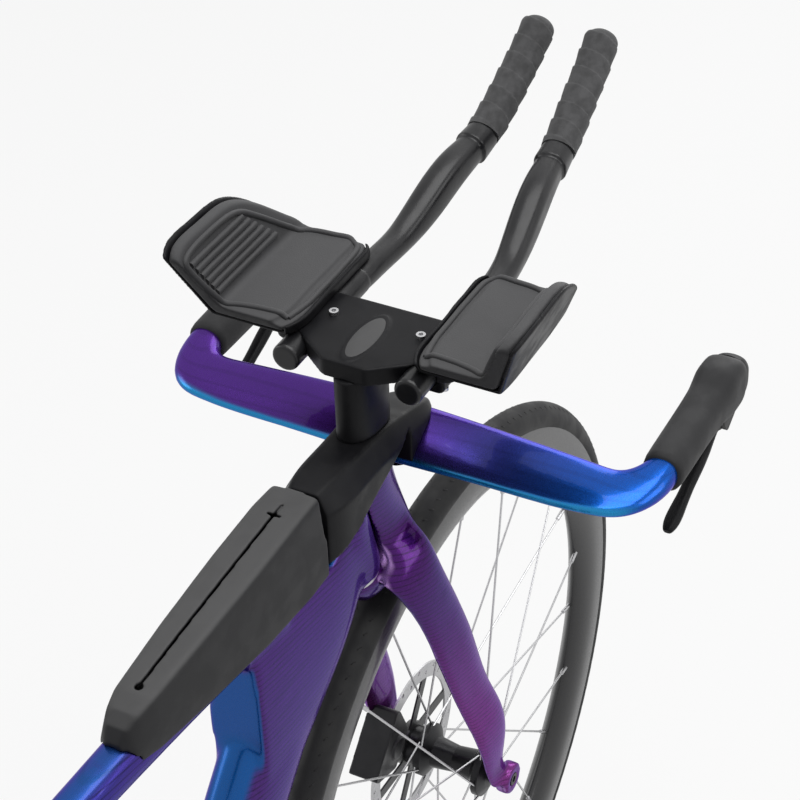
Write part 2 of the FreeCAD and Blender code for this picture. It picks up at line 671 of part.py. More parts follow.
def make_stem(bar):
    """Deep stem over the head tube and the fork's blade, reaching forward onto the base bar."""
    wires = []
    for x, top, half, low, crease, high in STEM_STATIONS:
        outline = ((-half, low), (-half, crease), (-top, high), (top, high), (half, crease), (half, low))
        wires.append(rounded_outline([front(x, y, z) for y, z in outline], STEM_CORNER))
    body = loft(wires)
    below = halfspace(steer_point(HEAD_TOP_Z), STEER_DIR * -1.0)
    below = below.common(Part.makeBox(1200, 200, 400, front(STEM_DROP_X - 1200, -100, 600)))
    body = body.cut(below).cut(bar)
    return body.cut(rod(steer_point(HEAD_TOP_Z - 60.0), steer_point(STEERER_TOP), STEERER_RADIUS))


def make_stem_clamp(bar):
    """Lower half of the base bar clamp."""
    wires = []
    for x, half, depth in ((-101.0, 12.0, 5.0), (-92.0, 18.0, 8.0), (-66.0, 18.0, 9.5), (-54.0, 12.0, 6.0)):
        wires.append(oval(front(x, 0, BAR_Z - 6.0), Y_AXIS, Z_AXIS, half, depth + 2.0, 3.0))
    halves = loft(wires).cut(bar).Solids
    return min(halves, key=lambda s: s.CenterOfMass.z)


def make_riser(stem):
    """Aero pillar of two stacked spacers on the stem."""
    spacers = []
    foot = STEM_STATIONS[3][5] - 16.0
    for low, high in ((foot, RISER_SPLIT_Z), (RISER_SPLIT_Z, BRIDGE_BOTTOM_Z)):
        outline = oval(front(RISER_MIDDLE_X, 0, low), X_AXIS, Y_AXIS, RISER_HALF_CHORD, RISER_WIDTH / 2.0, 2.3)
        spacers.append(Part.Face(outline).extrude(Z_AXIS * (high - low)))
    return spacers[0].cut(stem), spacers[1]


def make_bridge():
    """Flat bridge with a split clamp for each extension, and an oval cover let into its top."""
    corners = [front(x, y, BRIDGE_BOTTOM_Z) for x, y in BRIDGE_CORNERS]
    bridge = plate(corners, 9.0, Z_AXIS * (BRIDGE_TOP_Z - BRIDGE_BOTTOM_Z))
    length = CLAMP_FRONT_X - CLAMP_REAR_X
    for side in (-1.0, 1.0):
        y = side * EXTENSION_Y
        block = Part.makeBox(length, 32.0, BRIDGE_BOTTOM_Z + 4.0 - CLAMP_BOTTOM_Z,
                             front(CLAMP_REAR_X, y - 16.0, CLAMP_BOTTOM_Z))
        lengthwise = [e for e in block.Edges if abs(e.tangentAt(e.FirstParameter).x) > 0.9]
        edges = [e for e in lengthwise if e.CenterOfMass.z < BRIDGE_BOTTOM_Z]
        bridge = bridge.fuse(block.makeFillet(5.0, edges))
        bridge = bridge.cut(cylinder(EXTENSION_RADIUS, 200.0, front(-220.0, y, EXTENSION_Z), X_AXIS))
        split = front(CLAMP_REAR_X, y - 6.0 - side * 14.0, EXTENSION_Z - 6.0)
        bridge = bridge.cut(Part.makeBox(length, 12.0, 1.6, split))
    lid_wire = oval(front(-125.0, 0, BRIDGE_TOP_Z - 1.0), X_AXIS, Y_AXIS, 31.0, 10.5, 2.2)
    lid = Part.Face(lid_wire).extrude(Z_AXIS * 2.0)
    return bridge.cut(lid).removeSplitter(), lid


def extension_sections(grow, first=0):
    """Square sections along the extension, grown by a distance."""
    wires = []
    for i in range(first, len(EXTENSION_STATIONS)):
        x, y, z, w, h, power = EXTENSION_STATIONS[i]
        before = EXTENSION_STATIONS[max(i - 1, 0)]
        after = EXTENSION_STATIONS[min(i + 1, len(EXTENSION_STATIONS) - 1)]
        run = vec(after[0] - before[0], after[1] - before[1], after[2] - before[2])
        if i == 0:
            run = vec(1, 0, 0)
        run.normalize()
        across = Z_AXIS.cross(run)
        across.normalize()
        up = run.cross(across)
        wires.append(oval(front(x, y, z), across, up, w + grow, h + grow, power))
    return wires


def make_extension():
    """Left extension: straight round tail in the clamp, then an aero rise to the grip, and an end plug."""
    tail = rod(front(EXTENSION_REAR_X, EXTENSION_Y, EXTENSION_Z),
               front(EXTENSION_BEND_X + FERRULE, EXTENSION_Y, EXTENSION_Z), EXTENSION_RADIUS)
    bend = loft(extension_sections(0.0))
    plug = cylinder(EXTENSION_RADIUS, 5.0, front(EXTENSION_REAR_X - 5.0, EXTENSION_Y, EXTENSION_Z), X_AXIS)
    rim = [e for e in plug.Edges if e.CenterOfMass.x < FRONT_X + EXTENSION_REAR_X - 4.0]
    extension = tail.fuse(bend)
    collar = ruled(extension_sections(COLLAR_THICKNESS, GRIP_START - 1)[:2]).cut(extension)
    return extension, plug.makeFillet(2.5, rim[:1]), collar


def make_grip_tape(extension):
    """Overlapping turns of tape round the grip, ending in a rounded tip."""
    stations = EXTENSION_STATIONS[GRIP_START:]
    path = [vec(*s[:3]) for s in stations]
    lengths = [0.0]
    for a, b in zip(path[:-1], path[1:]):
        lengths.append(lengths[-1] + (b - a).Length)
    total = lengths[-1]

    def at(distance):
        distance = max(0.0, min(total, distance))
        i = 0
        while i < len(path) - 2 and distance > lengths[i + 1]:
            i += 1
        t = (distance - lengths[i]) / (lengths[i + 1] - lengths[i])
        radius = stations[i][4] * (1.0 - t) + stations[i + 1][4] * t
        run = path[i + 1] - path[i]
        if i + 2 < len(path):
            run = run * (1.0 - t) + (path[i + 2] - path[i + 1]) * t
        run.normalize()
        return path[i] + (path[i + 1] - path[i]) * t, run, radius

    wires = []
    step = total / GRIP_OVERLAPS
    for turn in range(GRIP_OVERLAPS):
        for share, lap in ((0.02, TAPE_LAP), (0.9, 0.0)):
            middle, run, radius = at((turn + share) * step)
            across = Z_AXIS.cross(run)
            across.normalize()
            r = radius + TAPE_THICKNESS + lap
            wires.append(oval(front(*middle), across, run.cross(across), r, r, 2.0))
    middle, run, radius = at(total)
    across = Z_AXIS.cross(run)
    across.normalize()
    for ahead, share in ((2.0, 0.98), (7.0, 0.7)):
        r = (radius + TAPE_THICKNESS) * share
        wires.append(oval(front(*(middle + run * ahead)), across, run.cross(across), r, r, 2.0))
    return largest(ruled(wires).cut(extension))


def armrest_section(station, rise, wall, inset):
    """One slanted section of an armrest layer: low inner lip, flat base and rising outer wing."""
    x, y_in, y_out, y_top, z_top = station
    base = BRIDGE_TOP_Z + rise
    shift = inset * 0.8
    lip = base + max(LIP_HEIGHT - inset, 4.0)
    lean = (y_top - y_out) / (z_top - BRIDGE_TOP_Z)
    outline = (
        (y_in + shift, lip), (y_in + shift + 1.0, base), (y_out - shift, base),
        (y_top - shift, z_top - rise * 0.35), (y_top - shift - wall, z_top - rise * 0.35 + 1.0),
        (y_out - shift - wall + 2.0 * lean, base + wall), (y_in + shift + 1.0 + wall, base + wall),
        (y_in + shift + wall, lip + 1.0),
    )
    points = [front(x - ARMREST_SHEAR * (z - BRIDGE_TOP_Z), y, z) for y, z in outline]
    return rounded_outline(points, min(ARMREST_CORNER, wall * 0.8))


def make_armrest_cup():
    """Thin moulded cup of the left armrest."""
    return loft([armrest_section(s, 0.0, CUP_WALL, 0.0) for s in ARMREST_STATIONS])


def make_arm_pad():
    """Foam pad that lines the left cup."""
    rise = CUP_WALL + SEAT_GAP
    return loft([armrest_section(s, rise, PAD_THICKNESS, rise + 1.0) for s in ARMREST_STATIONS])


def make_bolt(spot, axis, radius, head, shank):
    """Socket-head bolt: head outside, shank inside, with a hexagon socket."""
    bolt = cylinder(radius, head, spot, axis).fuse(cylinder(radius * 0.6, shank, spot, axis * -1.0))
    across = vec(axis.z, axis.x, axis.y)
    other = axis.cross(across)
    corners = []
    for i in range(6):
        turn = TAU * i / 6.0
        reach = across * (radius * 0.55 * math.cos(turn)) + other * (radius * 0.55 * math.sin(turn))
        corners.append(spot + axis * (head * 0.3) + reach)
    return bolt.cut(Part.Face(Part.makePolygon(corners + corners[:1])).extrude(axis * head))


def make_cockpit_bolts():
    """Bolts of the bridge, of the extension clamps and of the base bar clamp."""
    bolts = []
    down = Z_AXIS * -1.0
    for side in (-1.0, 1.0):
        bolts.append(make_bolt(front(-107.0, side * 36.0, BRIDGE_TOP_Z), Z_AXIS, 3.6, 3.0, 9.0))
        bolts.append(make_bolt(front(-78.0, side * 9.0, BAR_Z - 16.0), down, 3.6, 3.0, 3.0))
        for x in (-121.0, -96.0):
            bolts.append(make_bolt(front(x, side * (EXTENSION_Y + 11.6), CLAMP_BOTTOM_Z), down, 3.0, 2.5, 5.0))
    return bolts


def build_cockpit(fork):
    """Save stem, base bar, riser, bridge, extensions, armrests, hoods and lever bodies."""
    bar = make_base_bar()
    stem = make_stem(bar)
    bolts = make_cockpit_bolts()
    group = Part.makeCompound(bolts)
    bridge, lid = make_bridge()
    extension, plug, collar = make_extension()
    tape = make_grip_tape(extension)
    collar = largest(collar.cut(tape))
    cup = make_armrest_cup()
    pad = make_arm_pad().cut(cup)
    hood = make_hood(bar)
    nose, ears = make_lever_body()
    ears = [ear.cut(hood).cut(nose) for ear in ears]
    pin = make_lever_pin()
    ears = [ear.cut(pin) for ear in ears]
    lever = make_lever()
    save("fork", fork)
    save("base_bar", bar)
    save("stem", stem)
    save("stem_clamp", largest(make_stem_clamp(bar).cut(group)))
    save("riser", *make_riser(stem))
    save("bridge", bridge.cut(group), lid)
    save("cockpit_bolts", *bolts)
    save("left_extension", extension, plug, collar)
    save("right_extension", mirrored(extension), mirrored(plug), mirrored(collar))
    save("grip_tapes", tape, mirrored(tape))
    save("left_armrest_cup", cup)
    save("right_armrest_cup", mirrored(cup))
    save("left_arm_pad", pad)
    save("right_arm_pad", mirrored(pad))
    save("brake_hoods", hood, mirrored(hood))
    bodies = [nose] + ears + [pin]
    save("lever_bodies", *(bodies + [mirrored(b) for b in bodies]))
    save("left_brake_lever", lever)
    save("right_brake_lever", mirrored(lever))


# Frame: moulded main frame, bonded stays, seat post, saddle and storage box

HEAD_FACE_Z = HEAD_TOP_Z - TURN_GAP
STEM_SWEEP_RADIUS = 50.0
CROWN_SWEEP_RADIUS = 31.0
# Head stations: x from the front axle, lowest and highest z, half width
HEAD_STATIONS = (
    (-176.0, 686.0, 768.0, 20.0),
    (-200.0, 661.0, 771.0, 23.0),
    (-235.0, 631.0, 774.0, 23.5),
    (-280.0, 597.0, 778.0, 23.0),
    (-337.0, 556.0, 783.0, 21.5),
)
# Down tube stations: middle x and z, half depth, half width
DOWN_STATIONS = (
    (-300.0, 640.0, 45.0, 22.0),
    (-348.0, 588.0, 45.0, 22.0),
    (-470.0, 425.0, 42.0, 22.0),
    (-570.0, 290.0, 37.0, 24.0),
)
# Top tube stations: x, lowest and highest z, half width
TOP_STATIONS = (
    (-290.0, 728.0, 778.0, 21.0),
    (-360.0, 747.0, 783.0, 18.5),
    (-430.0, 754.0, 789.0, 16.0),
    (-500.0, 761.0, 793.0, 14.6),
    (-600.0, 765.0, 797.0, 14.0),
    (-715.0, 765.0, 799.0, 13.5),
)
# Seat tube stations: z, front x, rear x, half width
SEAT_STATIONS = (
    (252.0, -566.0, -636.0, 24.0),
    (340.0, -583.0, -662.0, 20.0),
    (450.0, -604.0, -694.0, 16.5),
    (600.0, -634.0, -722.0, 15.0),
    (720.0, -658.0, -738.0, 14.6),
    (806.0, -674.0, -746.0, 14.4),
)
# Stay stations from the frame to the dropout: x, y, z, half width, half height
CHAINSTAY_STATIONS = (
    (-606.0, 29.0, 262.0, 11.0, 20.0),
    (-680.0, 31.0, 268.0, 8.0, 17.0),
    (-760.0, 40.0, 283.0, 7.5, 14.0),
    (-860.0, 57.0, 304.0, 7.0, 12.0),
    (-940.0, 71.0, 323.0, 6.0, 12.0),
    (-990.0, 76.0, 335.0, 5.0, 12.0),
)
SEATSTAY_STATIONS = (
    (-690.0, 8.0, 664.0, 5.0, 15.0),
    (-750.0, 24.0, 606.0, 6.5, 13.0),
    (-800.0, 34.0, 555.0, 6.0, 11.0),
    (-880.0, 54.0, 468.0, 5.5, 9.5),
    (-950.0, 70.0, 392.0, 5.0, 9.0),
    (-986.0, 76.0, 352.0, 4.8, 8.0),
)
REAR_DROPOUT = 10.0
# Storage box stations: x, lowest and highest z, half width at the shoulder, half width of the top
BOX_STATIONS = (
    (-235.5, 752.0, 826.0, 24.0, 19.5),
    (-262.0, 752.0, 827.0, 24.5, 20.5),
    (-320.0, 756.0, 824.0, 24.0, 20.5),
    (-390.0, 764.0, 820.0, 21.5, 18.5),
    (-450.0, 772.0, 815.5, 18.5, 15.5),
    (-464.0, 774.0, 812.0, 16.5, 12.5),
    (-473.0, 774.0, 805.0, 15.0, 9.5),
    (-479.0, 774.0, 795.5, 11.5, 6.5),
)
BOX_SHOULDER = 0.62
LID_STATIONS = 6
SLIT_LENGTH = 190.0
BOX_WALL = 2.5
LID_THICKNESS = 3.0
SLIT_WIDTH = 2.0
SEAT_DIR = FreeCAD.Vector(-math.cos(math.radians(SEAT_ANGLE)), 0, math.sin(math.radians(SEAT_ANGLE)))
SEATPOST_INSERT = 170.0
POST_TRAVEL = 40.0
SEAT_TOP_Z = 803.0
POST_HEAD_Z = SADDLE_TOP_Z - 62.0


def tall_section(x, low, high, half, power=3.0):
    """A section across the bicycle at one x."""
    return oval(front(x, 0, (low + high) / 2.0), Y_AXIS, Z_AXIS, half, (high - low) / 2.0, power)


def seat_line(z):
    """The point of the seat tube's middle line at a height."""
    return vec(BB_X, 0, BB_Z) + SEAT_DIR * ((z - BB_Z) / SEAT_DIR.z) + X_AXIS * 2.0


def post_section(z, grow):
    """Teardrop section of the seat post square to the seat tube's line."""
    middle = seat_line(z)
    forward = Y_AXIS.cross(SEAT_DIR)
    half = SEATPOST_CHORD / 2.0 + grow
    return foil(middle + forward * half, middle - forward * half, Y_AXIS, SEATPOST_WIDTH / 2.0 + grow)


def post_prism(low, high, grow):
    """A length of seat post between two heights."""
    run = (high - low) / SEAT_DIR.z
    return Part.Face(post_section(low, grow)).extrude(SEAT_DIR * run)


def make_main_frame():
    """One moulded front triangle with its bearing bores, wheel cut-outs and seat post pocket."""
    head = loft([tall_section(x, low, high, half) for x, low, high, half in HEAD_STATIONS])
    top = loft([tall_section(x, low, high, half, 2.6) for x, low, high, half in TOP_STATIONS])
    down_wires = []
    for i, (x, z, depth, half) in enumerate(DOWN_STATIONS):
        last = DOWN_STATIONS[max(i - 1, 0)]
        following = DOWN_STATIONS[min(i + 1, len(DOWN_STATIONS) - 1)]
        run = vec(following[0] - last[0], 0, following[1] - last[1])
        run.normalize()
        down_wires.append(oval(front(x, 0, z), Y_AXIS, run.cross(Y_AXIS), half, depth, 2.8))
    down = loft(down_wires)
    seat_wires = []
    for z, nose, tail, half in SEAT_STATIONS:
        seat_wires.append(foil(front(nose, 0, z), front(tail, 0, z), Y_AXIS, half, 0.72))
    seat = loft(seat_wires)
    shell = cylinder(BB_SHELL_RADIUS, BB_SHELL_WIDTH, vec(BB_X, -BB_SHELL_WIDTH / 2.0, BB_Z), Y_AXIS)
    tower = rod(steer_point(HEAD_BOTTOM_Z), steer_point(HEAD_FACE_Z), HEAD_TUBE_RADIUS)
    body = head.multiFuse([top, down, seat, shell, tower])
    stem_room = cylinder(STEM_SWEEP_RADIUS, 120.0, steer_point(HEAD_FACE_Z), STEER_DIR)
    crown_room = cylinder(CROWN_SWEEP_RADIUS, 120.0, steer_point(HEAD_BOTTOM_Z), STEER_DIR * -1.0)
    rear_room = cylinder(TYRE_RADIUS + TYRE_CLEARANCE, 80.0, vec(REAR_X, -40.0, AXLE_Z), Y_AXIS)
    bore = rod(steer_point(HEAD_BOTTOM_Z - 20.0), steer_point(HEAD_TOP_Z + 20.0), BEARING_RADIUS)
    cups = cylinder(BB_CUP_RADIUS, 120.0, vec(BB_X, -60.0, BB_Z), Y_AXIS)
    cap = halfspace(front(0, 0, SEAT_TOP_Z), Z_AXIS)
    pocket = post_prism(SEAT_TOP_Z - SEATPOST_INSERT, SEAT_TOP_Z + 60.0, SEAT_GAP)
    for tool in (stem_room, crown_room, rear_room, bore, cups, cap, pocket):
        body = body.cut(tool)
    return body


def make_stay(stations, along):
    """Left stay lofted from the frame to the dropout."""
    wires = [oval(front(x, y, z), Y_AXIS, along, half, deep, 2.4) for x, y, z, half, deep in stations]
    return loft(wires)


def make_stays(body):
    """Left chain stay with its dropout, and left seat stay, seated on the main frame."""
    axle = vec(REAR_X, REAR_HUB_WIDTH / 2.0, AXLE_Z)
    hub_room = cylinder(36.0, REAR_HUB_WIDTH, vec(REAR_X, -REAR_HUB_WIDTH / 2.0, AXLE_Z), Y_AXIS)
    dropout = cylinder(17.0, REAR_DROPOUT, axle, Y_AXIS)
    rear_room = cylinder(TYRE_RADIUS + TYRE_CLEARANCE, 2.0 * 19.0, vec(REAR_X, -19.0, AXLE_Z), Y_AXIS)
    shell_room = cylinder(BB_CUP_RADIUS, 120.0, vec(BB_X, -60.0, BB_Z), Y_AXIS)
    chain = make_stay(CHAINSTAY_STATIONS, Z_AXIS).fuse(dropout).cut(hub_room)
    chain = chain.cut(rear_room).cut(shell_room).cut(body)
    chain = chain.cut(cylinder(AXLE_RADIUS, 40.0, axle - Y_AXIS * 10.0, Y_AXIS))
    lift = vec(-0.73, 0, 0.68)
    seat = make_stay(SEATSTAY_STATIONS, lift).cut(hub_room).cut(rear_room).cut(body).cut(chain)
    return largest(chain), largest(seat)


def make_bearings():
    """Head set rings at both ends of the head tube."""
    rings = []
    for start, way in ((steer_point(HEAD_FACE_Z), STEER_DIR * -1.0), (steer_point(HEAD_BOTTOM_Z), STEER_DIR)):
        rings.append(tube(BEARING_RADIUS, STEERER_RADIUS + RUNNING_FIT, BEARING_HEIGHT, start, way))
    return rings


def make_bb_cups():
    """Two threaded bearing cups in the bottom bracket shell, each with a flange outside."""
    cups = []
    for side in (-1.0, 1.0):
        face = vec(BB_X, side * BB_SHELL_WIDTH / 2.0, BB_Z)
        profile = [(SPINDLE_RADIUS + RUNNING_FIT, -14.0), (BB_CUP_RADIUS, -14.0), (BB_CUP_RADIUS, 0.0),
                   (BB_SHELL_RADIUS, 0.0), (BB_SHELL_RADIUS, 2.5), (SPINDLE_RADIUS + RUNNING_FIT, 2.5)]
        cups.append(revolved(profile, face, Y_AXIS * side, Z_AXIS))
    return cups


def make_storage_box(body):
    """Open tub behind the stem that straddles the top tube, and its soft lid with a long slit."""
    outer = []
    inner = []
    for x, low, high, half, crown in BOX_STATIONS:
        for wires, inset in ((outer, 0.0), (inner, BOX_WALL)):
            base = low + (inset + 20.0 if inset else 0.0)
            shoulder = max(high - BOX_SHOULDER * (high - low), base + 4.0)
            corners = [(-half + inset, base), (-half + inset, shoulder), (-crown + inset, high),
                       (crown - inset, high), (half - inset, shoulder), (half - inset, base)]
            wires.append(rounded_outline([front(x, y, z) for y, z in corners], 5.0))
    block = ruled(outer).cut(body)
    block = largest(block)
    tops = []
    for x, low, high, half, crown in BOX_STATIONS[:LID_STATIONS]:
        rows = [(-crown - 8.0, high - LID_THICKNESS), (crown + 8.0, high - LID_THICKNESS),
                (crown + 8.0, high + 6.0), (-crown - 8.0, high + 6.0)]
        points = [front(x, y, z) for y, z in rows]
        tops.append(Part.makePolygon(points + points[:1]))
    slab = ruled(tops)
    lid = block.common(slab)
    hollow = ruled(inner[1:5])
    tub = block.cut(slab).cut(hollow)
    slit_front = front(BOX_STATIONS[0][0] - 18.0, 0, 700.0)
    slit = Part.makeBox(SLIT_LENGTH, SLIT_WIDTH, 300.0, slit_front - vec(SLIT_LENGTH, SLIT_WIDTH / 2.0, 0))
    hole = cylinder(3.0, 300.0, slit_front - X_AXIS * SLIT_LENGTH)
    cross = Part.makeBox(SLIT_WIDTH, 12.0, 300.0, slit_front - vec(14.0, 6.0, 0))
    lid = lid.cut(slit).cut(hole).cut(cross)
    return tub, lid


def make_seatpost():
    """Aero post with a clamp head under the saddle."""
    low = SEAT_TOP_Z - SEATPOST_INSERT + POST_TRAVEL + 4.0
    post = post_prism(low, POST_HEAD_Z, 0.0)
    head_point = seat_line(POST_HEAD_Z)
    head = Part.Face(oval(head_point - Z_AXIS * 6.0, X_AXIS, Y_AXIS, 26.0, 15.0, 2.6)).extrude(Z_AXIS * 18.0)
    return post.fuse(head).removeSplitter()


RAIL_RADIUS = 3.5
RAIL_HALF = 22.0
SADDLE_LENGTH = 250.0
# Saddle stations from the nose: share of the length, half width, lowest and highest z from the top
SADDLE_STATIONS = (
    (0.0, 15.0, -32.0, -10.0),
    (0.12, 21.0, -37.0, -3.0),
    (0.4, 24.0, -40.0, 0.0),
    (0.65, 38.0, -39.0, -1.0),
    (0.85, 60.0, -34.0, 0.0),
    (1.0, 64.0, -24.0, 0.0),
)
SADDLE_CHANNEL = 7.0


def saddle_x(share):
    """Place along the saddle, counted from its nose."""
    return seat_line(SADDLE_TOP_Z).x - FRONT_X + SADDLE_LENGTH * (0.56 - share)


def make_saddle():
    """Padded top with a relief channel, the shell under it, and the rails with their clamp."""
    cover = []
    base = []
    for share, half, low, high in SADDLE_STATIONS:
        x = saddle_x(share)
        split = SADDLE_TOP_Z + low + 14.0
        top = SADDLE_TOP_Z + high
        cover.append(rounded_outline([front(x, y, z) for y, z in (
            (-half, split), (-half * 0.92, top - 5.0), (-half * 0.45, top), (half * 0.45, top),
            (half * 0.92, top - 5.0), (half, split))], 6.0))
        under = SADDLE_TOP_Z + low
        base.append(rounded_outline([front(x, y, z) for y, z in (
            (-half * 0.94, split), (-half * 0.8, under + 4.0), (-half * 0.5, under + 1.0), (half * 0.5, under + 1.0),
            (half * 0.8, under + 4.0), (half * 0.94, split))], 2.5))
    pad = loft(cover)
    channel = rod(front(saddle_x(0.22), 0, SADDLE_TOP_Z + 4.0), front(saddle_x(0.9), 0, SADDLE_TOP_Z + 4.0), SADDLE_CHANNEL)
    pad = pad.cut(channel)
    shell = loft(base).cut(pad)
    shell = largest(shell)
    rails = []
    rail_z = POST_HEAD_Z + 12.0 + RAIL_RADIUS + 1.2
    for side in (-1.0, 1.0):
        points = [front(saddle_x(0.12), side * 12.0, SADDLE_TOP_Z - 34.0), front(saddle_x(0.34), side * RAIL_HALF, rail_z),
                  front(saddle_x(0.74), side * RAIL_HALF, rail_z), front(saddle_x(0.93), side * 36.0, SADDLE_TOP_Z - 24.0)]
        bar = rod(points[0], points[1], RAIL_RADIUS)
        for a, b in zip(points[1:-1], points[2:]):
            bar = bar.fuse(Part.makeSphere(RAIL_RADIUS, a)).fuse(rod(a, b, RAIL_RADIUS))
        rails.append(bar.cut(shell).cut(pad))
    rails = [largest(r) for r in rails]
    shell = shell.cut(Part.makeCompound(rails))
    middle = seat_line(POST_HEAD_Z)
    clamp = Part.makeBox(40.0, 2.0 * RAIL_HALF + 14.0, 2.0 * RAIL_RADIUS + 2.5,
                         vec(middle.x - 20.0, -RAIL_HALF - 7.0, POST_HEAD_Z + 12.0))
    clamp = clamp.makeFillet(3.0, [e for e in clamp.Edges if e.CenterOfMass.z > POST_HEAD_Z + 14.0])
    for rail in rails:
        clamp = clamp.cut(rail)
    return pad, shell, rails, clamp


def build_frame():
    """Save the frame, stays, box, seat post and saddle, and give back the frame and the stays."""
    body = make_main_frame()
    chain, seat = make_stays(body)
    tub, lid = make_storage_box(body)
    pad, shell, rails, clamp = make_saddle()
    save("main_frame", body)
    save("left_chainstay", chain)
    save("right_chainstay", mirrored(chain).cut(body))
    save("left_seatstay", seat)
    save("right_seatstay", mirrored(seat).cut(body))
    save("frame_bearings", *(list(make_bearings()) + list(make_bb_cups())))
    save("storage_box", tub)
    save("storage_box_lid", lid)
    save("seatpost", make_seatpost())
    save("saddle_pad", pad)
    save("saddle_shell", shell)
    save("saddle_rails", *(rails + [clamp]))
    return body, chain


# Drive: cranks, chainring, chain, cassette and rear derailleur

SPROCKET_THICKNESS = 1.7
SEAT_PLAY = 0.12
TOOTH_RISE = 3.1
TOOTH_TIP = 1.1
CRANK_ARM_THICKNESS = 13.0
CRANK_FACE = 74.0
SPIDER_RADIUS = 62.0
LINK_INNER_HALF = 1.1
LINK_PLATE = 0.9
LINK_PLATE_GAP = 0.06
LINK_PLATE_RADIUS = 4.1
LINK_WAIST = 3.1
LINK_PIN_RADIUS = 1.75
FREEHUB_RADIUS = 17.0
GUIDE_PULLEY = (-988.0, 258.0)
CAGE_LENGTH = 66.0
CAGE_PLATE = 2.0
CAGE_HALF = 5.6
LINK_COUNT_STEP = 2


def pitch_radius(teeth):
    """Radius of the circle through the chain's pins on a sprocket."""
    return CHAIN_PITCH / (2.0 * math.sin(math.pi / teeth))


def sprocket(teeth, centre, thickness, phase, bore):
    """A toothed plate whose first roller seat lies at an angle from +X towards +Z."""
    pitch = pitch_radius(teeth)
    seat = ROLLER_RADIUS + SEAT_PLAY
    half_tooth = math.pi / teeth
    edges = []
    mid_y = centre - Y_AXIS * (thickness / 2.0)

    def polar(turn, radius):
        return mid_y + vec(radius * math.cos(turn), 0, radius * math.sin(turn))

    flank = math.radians(62.0)
    ring = []
    for i in range(teeth):
        turn = phase + TAU * i / teeth
        pin = polar(turn, pitch)
        outward = vec(math.cos(turn), 0, math.sin(turn))
        side = vec(-math.sin(turn), 0, math.cos(turn))
        a = pin - outward * (seat * math.cos(flank)) - side * (seat * math.sin(flank))
        b = pin - outward * seat
        c = pin - outward * (seat * math.cos(flank)) + side * (seat * math.sin(flank))
        rise = polar(turn - half_tooth + TOOTH_TIP / pitch, pitch + TOOTH_RISE)
        fall = polar(turn + half_tooth - TOOTH_TIP / pitch, pitch + TOOTH_RISE)
        ring.append((rise, a, b, c, fall))
    for i in range(teeth):
        rise, a, b, c, fall = ring[i]
        edges.append(Part.LineSegment(rise, a).toShape())
        edges.append(Part.Arc(a, b, c).toShape())
        edges.append(Part.LineSegment(c, fall).toShape())
        edges.append(Part.LineSegment(fall, ring[(i + 1) % teeth][0]).toShape())
    body = Part.Face(Part.Wire(edges)).extrude(Y_AXIS * thickness)
    return body.cut(cylinder(bore, thickness, mid_y, Y_AXIS))


class ChainLoop:
    """The chain's closed path over chainring, cog and two pulleys, counted in pitches."""

    def __init__(self, circles):
        self.circles = circles
        self.spans = []
        count = len(circles)
        self.runs = [self.tangent(circles[i], circles[(i + 1) % count]) for i in range(count)]
        self.total = 0.0
        for i in range(count):
            centre, teeth, way = circles[i]
            arrive = self.runs[i - 1][1]
            leave = self.runs[i][0]
            start = cmath_phase(arrive - centre)
            sweep = (cmath_phase(leave - centre) - start) * -way % TAU
            self.spans.append(("arc", self.total, centre, teeth, start, -way))
            self.total += sweep / (TAU / teeth)
            a, b = self.runs[i]
            self.spans.append(("run", self.total, a, b))
            self.total += abs(b - a) / CHAIN_PITCH

    @staticmethod
    def tangent(first, second):
        """End points of the line that leaves one circle and reaches the next."""
        centre_a, teeth_a, way_a = first
        centre_b, teeth_b, way_b = second
        radius_a = pitch_radius(teeth_a)
        radius_b = pitch_radius(teeth_b)
        gap = centre_b - centre_a
        offset = way_a * radius_a - way_b * radius_b
        ahead = math.sqrt(abs(gap) ** 2 - offset ** 2)
        run = gap / complex(ahead, offset)
        normal = run * 1j
        return centre_a + normal * (way_a * radius_a), centre_b + normal * (way_b * radius_b)

    def at(self, place):
        """The point of the path at a count of pitches."""
        place %= self.total
        span = [s for s in self.spans if s[1] <= place + 1e-9][-1]
        ahead = place - span[1]
        if span[0] == "run":
            a, b = span[2], span[3]
            return a + (b - a) / abs(b - a) * (ahead * CHAIN_PITCH)
        centre, teeth, start, way = span[2:]
        turn = start + way * ahead * TAU / teeth
        return centre + complex(math.cos(turn), math.sin(turn)) * pitch_radius(teeth)

    def phase(self, index):
        """Angle of a roller seat on one of the sprockets."""
        kind, begin, centre, teeth, start, way = self.spans[2 * index]
        whole = math.ceil(begin - 1e-9)
        return start + way * (whole - begin) * TAU / teeth


def cmath_phase(value):
    """Angle of a complex number."""
    return math.atan2(value.imag, value.real)


def chain_circles(cage_angle):
    """Chainring, chained cog, guide pulley and tension pulley, seen from the left side."""
    ring = complex(BB_X, BB_Z)
    cog = complex(REAR_X, AXLE_Z)
    guide = complex(FRONT_X + GUIDE_PULLEY[0], GUIDE_PULLEY[1])
    tension = guide + complex(math.cos(cage_angle), math.sin(cage_angle)) * CAGE_LENGTH
    return [
        (ring, CHAINRING_TEETH, -1.0), (cog, COG_TEETH[CHAINED_COG], -1.0),
        (guide, PULLEY_TEETH, 1.0), (tension, PULLEY_TEETH, -1.0),
    ]


def fitted_chain():
    """The chain loop with a whole even number of links, found by swinging the cage."""
    low = math.radians(-95.0)
    high = math.radians(-35.0)
    middle = ChainLoop(chain_circles((low + high) / 2.0)).total
    links = LINK_COUNT_STEP * round(middle / LINK_COUNT_STEP)
    rising = ChainLoop(chain_circles(high)).total > ChainLoop(chain_circles(low)).total
    for _ in range(60):
        angle = (low + high) / 2.0
        longer = ChainLoop(chain_circles(angle)).total > links
        if longer == rising:
            high = angle
        else:
            low = angle
    return ChainLoop(chain_circles(angle)), links, angle


